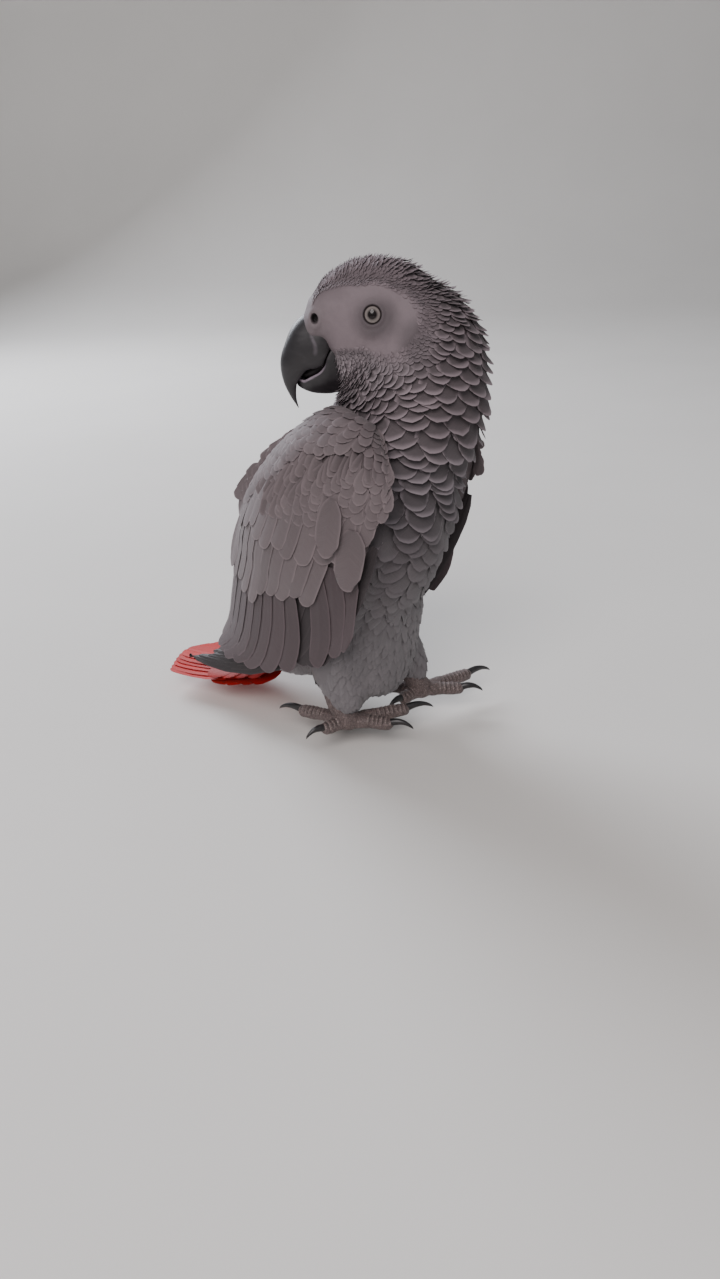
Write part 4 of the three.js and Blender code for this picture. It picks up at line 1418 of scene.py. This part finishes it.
for side in SIGN:
    keep(arm_pad(side), slot="plumage")
    rows = [wing_row(f"{kind}_{side}", side, row, COVERT) for kind, row in WING_ROWS.items()]
    keep(join(f"wing_feathers_{side}", rows), f"wing_{side}", slot="plumage")
    dark = wing_row(f"primary_feathers_{side}", side, PRIMARIES, FLIGHT, shaft=0.4)
    keep(dark, f"primaries_{side}", slot="flight_feathers")

# %% [markdown]
# ### Small coverts and scapulars
#
# The arm is covered by small coverts, dealt out in staggered rows. The scapulars grow from the shoulder and
# lie over the arm as a band, which hides where the wing joins the back. Just below the band the coverts are
# ruffled: they are longer and narrower, stand a little on edge and carry more painted shade at their roots,
# so that dark gaps show between them.

# %% Feathers dealt out over the arm
# The lower edge of the scapulars' band: [u from the bend, t from the front edge].
SCAPULAR_EDGE = np.array(
    [[0, 0.05], [0.05, 0.1], [0.09, 0.26], [0.12, 0.46], [0.15, 0.57], [0.2, 0.7], [0.26, 0.8], [0.34, 0.9]]
).T
RUFFLE_ROLL = 1.25


def wing_places(u, t, sign, size, turn, along, order):
    """Picks places on a wing, `along` times as close lengthways as `size`, which is the spacing across."""
    spots = wing_place(u, t, sign)
    flow = unit(wing_place(u + turn[0], t + turn[1], sign) - spots)
    chosen = scatter(spots, flow, size, size * along, np.argsort(order))
    return u[chosen], t[chosen], size[chosen]


def wing_patch(name, side, u, t, flow_turn, wide, long, root, tip, shade, roll=0.0):
    """Feathers dealt out over a wing's sheet, at places (u, t)."""
    sign = SIGN[side]
    here = wing_place(u, t, sign)
    way = unit(wing_place(u + 0.05, t + flow_turn, sign) - here) + 0.12 * rng.standard_normal(here.shape)
    way = along_surface(way, nearest(wing_surfaces[side], here)[1])
    tone = PALETTE["covert"] * rng.uniform(0.86, 1.1, (len(here), 1))
    tip = tip * rng.uniform(0.92, 1.08, len(here))
    # `shade` darkens each feather's root with painted shade.
    piece = lay(
        name, wing_surfaces[side], straight(here, way, long, "contour"), wide, "contour", COVERT, tone,
        on_map(u, t), root=root, tip=tip, roll=0.06 * wide + roll, camber=0.06, thick=0.16, flutter=0.2,
        shade=shade, lip=0.06, frayed=0.04, pale=0.7,
    )
    keep(piece, slot="plumage")


for side, sign in SIGN.items():
    u, t = (grid.ravel() for grid in over_sheet((0.0, 0.22, 90), (-0.02, 1.02, 130)))
    u = u * (1 - 0.15 * smooth(t, 0.35, 0.15))
    size = np.interp(u, [0, 0.22], [3.0, 5.6])
    u, t, size = wing_places(u, t, sign, size, (0.06, 0), 0.6, u + rng.uniform(0, 0.008, len(u)))
    below = np.interp(u, *SCAPULAR_EDGE) - t
    ruffle = smooth(below, 0.34, 0.1) * smooth(below, -0.12, 0.0) * smooth(u, 0.05, 0.1)
    root = 0.3 + 5.5 * u
    wide, long = size * (0.66 - 0.24 * ruffle), size * (2.3 + 1.2 * ruffle)
    # Ruffled coverts get more painted shade at their roots, for the dark gaps between them.
    wing_patch(
        f"arm_coverts_{side}", side, u, t, 0, wide, long, root, root + 0.75 + 0.14 * size,
        0.2 + 0.08 * ruffle, roll=RUFFLE_ROLL * ruffle,
    )
    u, t = (grid.ravel() for grid in over_sheet((0.0, 0.3, 60), (0.0, 1.04, 100)))
    inside = t > np.interp(u, *SCAPULAR_EDGE) + 0.03
    u, t = u[inside], t[inside]
    size = np.interp(u, [0, 0.28], [3.6, 5.4])
    order = u + 0.3 * t + rng.uniform(0, 0.01, len(u))
    u, t, size = wing_places(u, t, sign, size, (0.05, 0.07), 0.7, order)
    root = 1.5 + 2 * u
    wing_patch(
        f"scapulars_{side}", side, u, t, 0.07, size * 0.7, size * 2.7, root, root + 1.1 + 0.12 * size, 0.2
    )

# %% [markdown]
# ## The tail
#
# A grey parrot has twelve short, square, scarlet tail feathers. The middle pair lies on top. Their roots
# are hidden by red tail coverts above and below. The tail bends flat so that its end lies along the floor.

# %% Tail feathers and coverts
TAIL_ROOT = np.array([0, 37, 18.9])
TAIL_LENGTH = 86
TAIL_PITCH = math.radians(27)
TAIL_HALF = (8, 20)
TAIL_DROOP = 4
TAIL_PAIRS = 6


def tail_place(u, t):
    """Points of the tail's sheet, u from root to tip and t from the bird's right to its left."""
    u, t = np.broadcast_arrays(np.asarray(u, float), np.asarray(t, float))
    aside = 2 * t - 1
    half = TAIL_HALF[0] + (TAIL_HALF[1] - TAIL_HALF[0]) * np.sqrt(np.clip(u, 0, 1))
    mean = TAIL_PITCH * (1 - np.clip(u, 0, 1) / 2)
    x = half * aside
    y = np.cos(mean) * TAIL_LENGTH * u
    z = -np.sin(mean) * TAIL_LENGTH * u - TAIL_DROOP * aside**2 * (1 - np.clip(u, 0, 1))
    return TAIL_ROOT + np.stack([x, y, z], -1)


u, t = over_sheet((0, 1.0, 60), (-0.2, 1.2, 30))
tail_surface = face_tree(tail_place(u, t), grid_faces(*u.shape).tolist())
print("tail faces", nearest(tail_surface, tail_place(np.array([0.5]), np.array([0.5])))[1].round(2))

# %% Its feathers and their coverts
tail_parts = []
for sign in (1, -1):
    k = np.arange(TAIL_PAIRS)
    aside = (k + 0.5) / TAIL_PAIRS
    s = STATIONS["quill"][:, 0]
    u = 0.02 + (1 - 0.07 * aside**2 - 0.02)[:, None] * s * 0.99
    t = 0.5 + sign * ((0.38 + 0.12 * s) * aside[:, None])
    height = 0.9 + 0.62 * (TAIL_PAIRS - k)
    half = 6.4 * (1 + 0.04 * rng.standard_normal(len(k)))
    tone = PALETTE["tail"] * rng.uniform(0.88, 1.1, (len(k), 1))
    spots = np.stack([t[:, 0] * 0.6 + 0.2, 0.1 + 0.1 * aside], 1)
    tail_parts.append(lay(
        f"rectrices_{sign}", tail_surface, tail_place(u, t), half, "quill", SCARLET, tone, spots, root=height,
        tip=height, rise=1.0, camber=0.05, roll=0.3, round_tip=0.7, shaft=0.35, thick=0.3,
        facing=np.tile([sign, 0.0, 0.0], (len(k), 1)), ragged=0.012, flutter=0.2,
    ))
COVERT_ROWS = 7
u, t = over_sheet((0.02, 0.36, COVERT_ROWS), (0.06, 0.94, COVERT_ROWS))
t = t + (np.arange(COVERT_ROWS)[:, None] % 2 - 0.5) * 0.06
u, t = u.ravel(), t.ravel()
here = tail_place(u, t)
way = unit(tail_place(u + 0.05, t) - here)
middle = straight(here, way, np.full(len(u), 19.0), "contour")
for name, lift, flip in (("upper_tail_coverts", 5.4, 1), ("lower_tail_coverts", -1.4, -1)):
    tone = PALETTE["tail_covert"] * rng.uniform(0.85, 1.1, (len(u), 1))
    spots = np.stack([t * 0.6 + 0.2, u * 0.4 + 0.3 + 0.2 * flip], 1)
    tail_parts.append(lay(
        name, tail_surface, middle, np.full(len(u), 5.6), "contour", SCARLET, tone, spots,
        root=lift + 1.2 * flip * (1 - u / 0.36), tip=lift - 0.4 * flip, rise=1.0, camber=0.1 * flip,
        flutter=0.2,
    ))
keep(join("tail_feathers", tail_parts), "tail", slot="tail_feathers")

# %% [markdown]
# ## The bill
#
# The bill is horn over bone. The upper half hooks down in one sweep and thins to a point. The lower half
# closes behind it like a scoop, with an edge that is worn pale. Each half is spanned between two curves in
# the middle plane of the head, one along its ridge and one along its cutting edge, with one cross-section
# all the way.

# %% The curves of the bill
# Rows of [ridge forward, ridge up, edge forward, edge up, half width]
UPPER_BILL = np.array([
    [22, -1.5, 18.5, -13, 7.5], [26.5, -0.4, 20.4, -15, 8.8], [30.2, -0.9, 22.4, -18.4, 9.3],
    [33.4, -2.9, 24, -21.2, 9.1], [36.4, -6.2, 26.6, -22.3, 8.7], [38.9, -10.8, 30.4, -22.9, 7.8],
    [41.6, -17.1, 33.6, -25.9, 6.4], [42.3, -21.7, 35.2, -28.2, 5.1], [41.6, -27.8, 36.1, -30.8, 3.5],
    [39.4, -33.7, 36.5, -35.4, 1.8], [36, -39.8, 35.7, -39.9, 0.15],
])
LOWER_BILL = np.array([
    [13, -31.5, 14, -13, 8], [17.1, -33.4, 19, -14.4, 8.8], [20, -34, 21.4, -17.6, 8.9],
    [22.4, -34.1, 22.8, -21.2, 8.6], [25.2, -33.9, 25.2, -23.9, 8], [29, -33.3, 29.2, -25.9, 6.9],
    [32.4, -32, 32.2, -27.3, 5.2], [35, -30.4, 34.6, -26.9, 2.7], [36, -28.8, 35.8, -27.4, 0.3],
])
# Half a cross-section: [share of the half width, share of the way from the ridge to the edge]
UPPER_SECTION = [
    [0, 0], [0.24, 0.012], [0.47, 0.06], [0.67, 0.15], [0.83, 0.29], [0.94, 0.46], [1, 0.65], [0.99, 0.82],
    [0.95, 0.94], [0.9, 1], [0.82, 0.97], [0.62, 0.88], [0.35, 0.83], [0, 0.82],
]
LOWER_SECTION = [
    [0, 0], [0.3, 0.015], [0.55, 0.08], [0.76, 0.22], [0.9, 0.42], [0.98, 0.65], [1, 0.86], [0.98, 0.98],
    [0.92, 1], [0.86, 0.93], [0.62, 0.7], [0.3, 0.58], [0, 0.54],
]
EDGE_SHARE = 0.92  # how far out the cutting edge stands, as a share of the half width
BILL_ROWS = 90


def bill_half(name, curves, section):
    """Returns a half of the bill, and for each of its points how far it is from the cutting edge."""
    t = np.linspace(0, 1, BILL_ROWS)
    ridge, edge = spline(curves[:, :2], t), spline(curves[:, 2:4], t)
    wide = spline(curves[:, 4:] * [1, 0], t)[:, 0]
    half = spline(section, np.linspace(0, 1, 34))
    aside = np.r_[half[:, 0], -half[-2:0:-1, 0]]
    down = np.r_[half[:, 1], half[-2:0:-1, 1]]
    forward, up = np.moveaxis(ridge[:, None] + (edge - ridge)[:, None] * down[:, None], -1, 0)[..., None]
    grid = HEAD_AT + FACE * forward + CHEEK * (aside * wide[:, None])[..., None] + UP * up
    points = np.vstack([grid.reshape(-1, 3), grid[0].mean(0), grid[-1].mean(0)])
    made = make_object(name, points, tube_faces(BILL_ROWS, len(aside)), BILL_HORN)
    work = bmesh.new()
    work.from_mesh(made.data)
    bmesh.ops.recalc_face_normals(work, faces=work.faces)
    work.to_mesh(made.data)
    work.free()
    depth = np.linalg.norm(edge - ridge, axis=1)
    beside = 0.5 * (np.abs(aside) - EDGE_SHARE) * wide[:, None]
    from_edge = np.hypot((1 - down) * depth[:, None], beside)
    return made, np.r_[from_edge.ravel(), 9, 0]


# %% The two halves
upper, from_edge = bill_half("upper_bill", UPPER_BILL, UPPER_SECTION)
ahead, _, high = head_measures(points_of(upper))
# A fold runs down the side of the bill, beside the cere; its paleness is a painted highlight on the fold's
# bump. The cutting edge is worn pale.
fold_line = np.interp(high, [-17, -13, -9], [26.6, 26.2, 27.8])
fold = np.hypot(ahead - fold_line, np.maximum(0, np.abs(high + 12.5) - 3.5))
fold_highlight_and_worn_edge = 4.0 * smooth(fold, 1.2, 0.2) + 0.8 * smooth(from_edge, 0.9, 0.1)
paint(upper, "tone", 1 + fold_highlight_and_worn_edge[:, None] + np.zeros(3))
keep(upper, "bill_upper", slot="horn")
lower, from_edge = bill_half("lower_bill", LOWER_BILL, LOWER_SECTION)
worn = smooth(from_edge, 1.15, 0.7) * smooth(head_measures(points_of(lower))[0], 21, 25)
paint(lower, "tone", 1 + worn[:, None] * np.array([15.0, 14.4, 14.8]))
keep(lower, "bill_lower", slot="horn")

# %% The tongue
TONGUE = [
    [12, -17, 0, 0], [16, -18, 5.5, 5], [23, -21, 6, 4.6], [28, -24, 5.4, 3], [32, -25.6, 3.4, 1.8],
    [34, -26.4, 0, 0],
]
tongue = make_object("tongue", *loft(head_keys(TONGUE), CHEEK, 30, 24), SKIN)
# The tongue is nearly black: partly its own colour, partly painted shade for the inside of the mouth, which
# it fills.
paint_evenly(tongue, linear("#221e20"))
keep(tongue, slot="face_skin")

# %% [markdown]
# ## The eyes
#
# A grown grey parrot has a pale iris, and its pupil is small in bright light. The eye is one ball with a
# slight bulge for the cornea. Its colours are painted by the distance from the axis along which it looks.

# %% Eyes
EYE_SIDES = 96
PUPIL_EDGE = (1.85, 1.65)
IRIS_EDGE = (2.95, 3.3)


def eye(side):
    look = eye_axis(SIGN[side])
    first = unit(np.cross(look, UP))
    second = np.cross(look, first)
    bend = np.r_[np.linspace(0.02, 0.9, 50), np.linspace(0.95, 3.1, 16)]
    turn = (np.arange(EYE_SIDES) * 2 * math.pi / EYE_SIDES)[:, None]
    bulge = 1 + 0.02 * smooth(bend, 0.55, 0.0)
    around = first * np.cos(turn) + second * np.sin(turn)
    ring = look * (np.cos(bend) * bulge)[:, None, None] + around * (np.sin(bend) * bulge)[:, None, None]
    shape = np.vstack([ring.reshape(-1, 3), look * bulge[0], -look]) * EYE_RADIUS
    faces = [part[:, ::-1] for part in tube_faces(len(bend), EYE_SIDES)]
    made = make_object(f"eyeball_{side}", eye_centre(SIGN[side]) + shape, faces, EYE)
    _, off = about_axis(shape, look)
    # Fine spokes: two waves round the iris, the one bent by a slower one.
    spoke = np.arctan2(shape @ second, shape @ first)
    ray = 0.5 + 0.5 * np.sin(spoke * 33 + 3 * np.sin(spoke * 5)) * np.sin(spoke * 19 + 1.7)
    light = np.clip(smooth(off, 1.8, 2.6) + 0.18 * (ray - 0.5), 0, 1)
    colour = mixed(linear("#4a4543"), linear("#7a726f"), light)
    colour = mixed(colour, linear("#120c0d"), smooth(off, *PUPIL_EDGE))
    # The ring outside the iris is dark: partly the iris's own dark edge, partly painted shade from the lids.
    colour = mixed(colour, linear("#2e2728"), smooth(off, *IRIS_EDGE))
    paint(made, "tone", colour)
    return made


for side in SIGN:
    keep(eye(side), f"eye_{side}", slot="iris")

# %% [markdown]
# ## Feet
#
# Parrots have two toes in front and two behind. The foot is fused from lofts as the body was. The plates
# over the toes and the lumps of the hide are real bumps: a lump stands wherever a random seed point is
# near. The material adds the small, bead-like scales between them.

# %% Forms of a foot
TOES = {
    "inner_front": {"turn": -16, "length": 23, "claw": 11},
    "outer_front": {"turn": 14, "length": 33, "claw": 14},
    "inner_back": {"turn": -152, "length": 15, "claw": 10},
    "outer_back": {"turn": 150, "length": 29, "claw": 13},
}
TOE_RADIUS = 3.7
SOLE_CUT = 3.0
PLATE_MM = 2.3
ANKLE = {"height": 24, "back": 7}


def heading(degrees):
    a = math.radians(degrees)
    return np.array([math.sin(a), -math.cos(a), 0])


def shank_keys(foot):
    x, y = foot["x"], foot["y"]
    top = np.array([x, y, 0]) - heading(foot["yaw"]) * ANKLE["back"]
    high = ANKLE["height"]
    return [
        [top[0], top[1], high + 5, 0, 0],
        [top[0], top[1], high + 2, 4.2, 4.2],
        [top[0], top[1], high - 6, 4.3, 4.3],
        [(top[0] + x) / 2, (top[1] + y) / 2, 10, 5.2, 5.2],
        [x, y, 4.5, 6.4, 6.4],
        [x, y, 0.4, 5, 5],
        [x, y, -1, 0, 0],
    ]


def toe_line(foot, toe):
    """Where a toe starts, and the way it points."""
    return np.array([foot["x"], foot["y"], SOLE_CUT]), heading(foot["yaw"] + toe["turn"])


def toe_keys(foot, toe):
    base, way = toe_line(foot, toe)
    r, reach = TOE_RADIUS, toe["length"]
    steps = [
        (0, 0, 0, 0), (1.5, 0, 0.9, 0.9), (reach * 0.3, 0.4, 1.08, 1.02), (reach * 0.5, 0.4, 0.92, 0.9),
        (reach * 0.75, 0.2, 0.98, 0.94), (reach * 0.95, 0, 0.8, 0.84), (reach + 1.2, 0, 0, 0),
    ]
    return [[*(base + way * d + UP * up), r * wide, r * deep] for d, up, wide, deep in steps]


def claw_keys(foot, toe):
    base, way = toe_line(foot, toe)
    base, reach = base + way * toe["length"], toe["claw"]
    steps = [
        (-3, 0.6, 0, 0), (-2, 0.7, 1.9, 2.1), (reach * 0.25, 1.7, 1.6, 1.8), (reach * 0.6, 1.2, 1.1, 1.2),
        (reach * 0.9, -0.8, 0.55, 0.6), (reach, -2.2, 0, 0),
    ]
    return [[*(base + way * d + UP * up), wide, deep] for d, up, wide, deep in steps]


print("the longest toe is", max(toe["length"] for toe in TOES.values()), "mm without its claw")

# %% Feet and claws
LUMP_MM = 3.2
TOE_REACH = 4.6


def from_seed(points, size, seed):
    """How far each point is from the nearest of many random seed points, one in each cell of a net."""
    scaled = points / size
    base = np.floor(scaled).astype(np.int64)
    best = np.full(len(points), 9.0)
    for step in np.ndindex(3, 3, 3):
        corner = base + np.array(step) - 1
        code = (corner * [73856093, 19349663, 83492791]).sum(1) ^ (seed * 2654435761)
        luck = np.stack([((code * k) % 1000003) / 1000003 for k in (12289, 40961, 65537)], 1)
        best = np.minimum(best, np.linalg.norm(scaled - (corner + 0.2 + 0.6 * luck), axis=1))
    return best


def plates(foot, points, out):
    """Where the plates over the toes have their crests, and where the creases between them are."""
    nearest_toe = np.full(len(points), TOE_REACH)
    phase = np.zeros(len(points))
    for toe in TOES.values():
        base, way = toe_line(foot, toe)
        height, beside = about_axis(points - base, way)
        beside = np.hypot(beside, 9 * (height < toe["length"] * 0.42))
        phase = np.where(beside < nearest_toe, (height - toe["length"]) / PLATE_MM, phase)
        nearest_toe = np.minimum(nearest_toe, beside)
    plate = (nearest_toe < TOE_REACH) * smooth(out[:, 2], 0.0, 0.4)
    step = phase % 1
    crease = np.maximum(smooth(step, 0.2, 0.0), smooth(step, 0.88, 1.0))
    return smooth(step, 0.45, 0.7) * smooth(step, 0.95, 0.8) * plate, crease * plate


for side, foot in FEET.items():
    forms = [loft(shank_keys(foot), heading(foot["yaw"] + 90), 30, 32)]
    for toe in TOES.values():
        forms.append(loft(toe_keys(foot, toe), heading(foot["yaw"] + toe["turn"] + 90), 30, 28))
    hide = fuse(f"foot_hide_{side}", forms, voxel=0.5)
    relax(hide, 3)
    shape, out = points_of(hide), normals_of(hide)
    crest, crease = plates(foot, shape, out)
    lump = smooth(from_seed(shape, LUMP_MM, 7), 0.8, 0.2)
    shape = shape + out * (0.2 * crest - 0.35 * crease + 0.25 * lump - 0.1)[:, None]
    shape[:, 2] = np.maximum(shape[:, 2], 0.02)
    move_points(hide, shape)
    hide.data.materials.append(HIDE)
    # Painted highlight on the plates' crests, and painted shade in the creases between them.
    tone = mixed(linear("#6c5e5c"), linear("#998a86"), 0.6 * crest)
    paint(hide, "tone", mixed(tone, linear("#2f2726"), 0.85 * crease))
    keep(hide, f"shank_{side}", *(f"toe_{side}_{name}" for name in TOES), slot="leg_skin")
    for name, toe in TOES.items():
        shape, faces = loft(claw_keys(foot, toe), heading(foot["yaw"] + toe["turn"] + 90), 36, 20)
        shape[:, 2] = np.maximum(shape[:, 2], 0.3)
        claw = make_object(f"claw_horn_{side}_{name}", shape, faces, CLAW_HORN)
        paint_evenly(claw, [1.0, 1.0, 1.0])
        keep(claw, f"claw_{side}_{name}", slot="horn")

# %% [markdown]
# ## The studio
#
# A pale sheet of paper runs over the floor and up behind the bird in one curve. A soft light stands above
# and to the left of the camera. A stronger one behind the bird, like a window, draws a bright line along
# its back.

# %% Paper
# The paper's path in metres: [distance behind the bird, height].
PAPER_PATH = [[-7, 0], [-2, 0], [1.6, 0], [1.9, 0.04], [2.12, 0.16], [2.24, 0.38], [2.28, 0.7], [2.28, 3.4]]
PAPER_TURN = math.radians(55)
PAPER_GRID = (60, 12)


def sweep():
    run = np.c_[PAPER_PATH, np.zeros(len(PAPER_PATH))]
    path = spline(run, np.linspace(0, 1, PAPER_GRID[0]))[:, :2]
    way = np.array([math.sin(PAPER_TURN), math.cos(PAPER_TURN), 0])
    side = np.array([way[1], -way[0], 0])
    rows = [way * d + UP * h - side * w for d, h in path for w in np.linspace(-7, 7, PAPER_GRID[1])]
    return make_object("studio_paper", np.array(rows) * 1000 - SHIFT, [grid_faces(*PAPER_GRID)])


def paper_material():
    material, tree, shader = new_material("studio_paper_uncoated")
    where = add(tree, "TexCoord").outputs["Object"]
    fibre = add(tree, "TexNoise", {"Vector": where, "Scale": 6, "Detail": 3})
    base = {"Factor": fibre, FIRST: (*linear("#d3d0cc"), 1), SECOND: (*linear("#dad7d3"), 1)}
    base = add(tree, "Mix", base, data_type="RGBA")
    plug(tree, shader, {"Base Color": base.outputs[MIXED], "Roughness": 0.9})
    return material


paper = sweep()
paper.data.materials.append(paper_material())
print("paper:", [round(c, 2) for c in paper.dimensions], "m")

# %% Lights
def soft_light(name, place, aim, size, power, colour):
    """A round lamp at `place` that looks at `aim`, both in metres."""
    data = bpy.data.lights.new(name, "AREA")
    data.shape = "DISK"
    data.size = size
    data.energy = power
    data.color = linear(colour)
    made = new_object(name, data)
    made.location = place
    made.rotation_euler = (Vector(aim) - Vector(place)).to_track_quat("-Z", "Y").to_euler()


soft_light("key_light", (-1.3, -0.5, 1.3), (0, 0, 0.1), 1.1, 25, "#fff7f6")
soft_light("window_light", (0.5, 1.5, 1.1), (0, 0, 0.15), 1.2, 44, "#f2f6ff")
world = bpy.data.worlds.new("studio")
world.use_nodes = True
sky = world.node_tree.nodes["Background"]
plug(world.node_tree, sky, {"Color": (*linear("#dfe2e6"), 1), "Strength": 0.45})
bpy.context.scene.world = world
print("lights:", {light.name: light.energy for light in bpy.data.lights}, "W")

# %% Camera
FOCAL_PIXELS = 865
IMAGE = (720, 1279)
SENSOR_MM = 36
CAMERA_AT = np.array([-328.3, -240.0, 235.5])
PITCH = math.radians(26)
ROLL = math.radians(3)
camera_data = bpy.data.cameras.new("camera")
camera_data.sensor_fit = "AUTO"
camera_data.sensor_width = SENSOR_MM
camera_data.lens = SENSOR_MM * FOCAL_PIXELS / max(IMAGE)
camera_data.clip_start = 0.01
camera = new_object("camera", camera_data)
right = np.array([0.574, -0.819, 0])
ahead = np.array([0.819, 0.574, 0])
forward_way = ahead * math.cos(PITCH) - UP * math.sin(PITCH)
upright = ahead * math.sin(PITCH) + UP * math.cos(PITCH)
image_right = math.cos(ROLL) * right - math.sin(ROLL) * upright
image_up = math.sin(ROLL) * right + math.cos(ROLL) * upright
turned = Matrix([[*map(float, row)] for row in np.stack([image_right, image_up, -forward_way], 1)])
camera.matrix_world = Matrix.Translation(Vector((CAMERA_AT + SHIFT) * MM)) @ turned.to_4x4()
bpy.context.scene.camera = camera
print("camera at", [round(c, 3) for c in camera.location], "lens", round(camera_data.lens, 2), "mm")
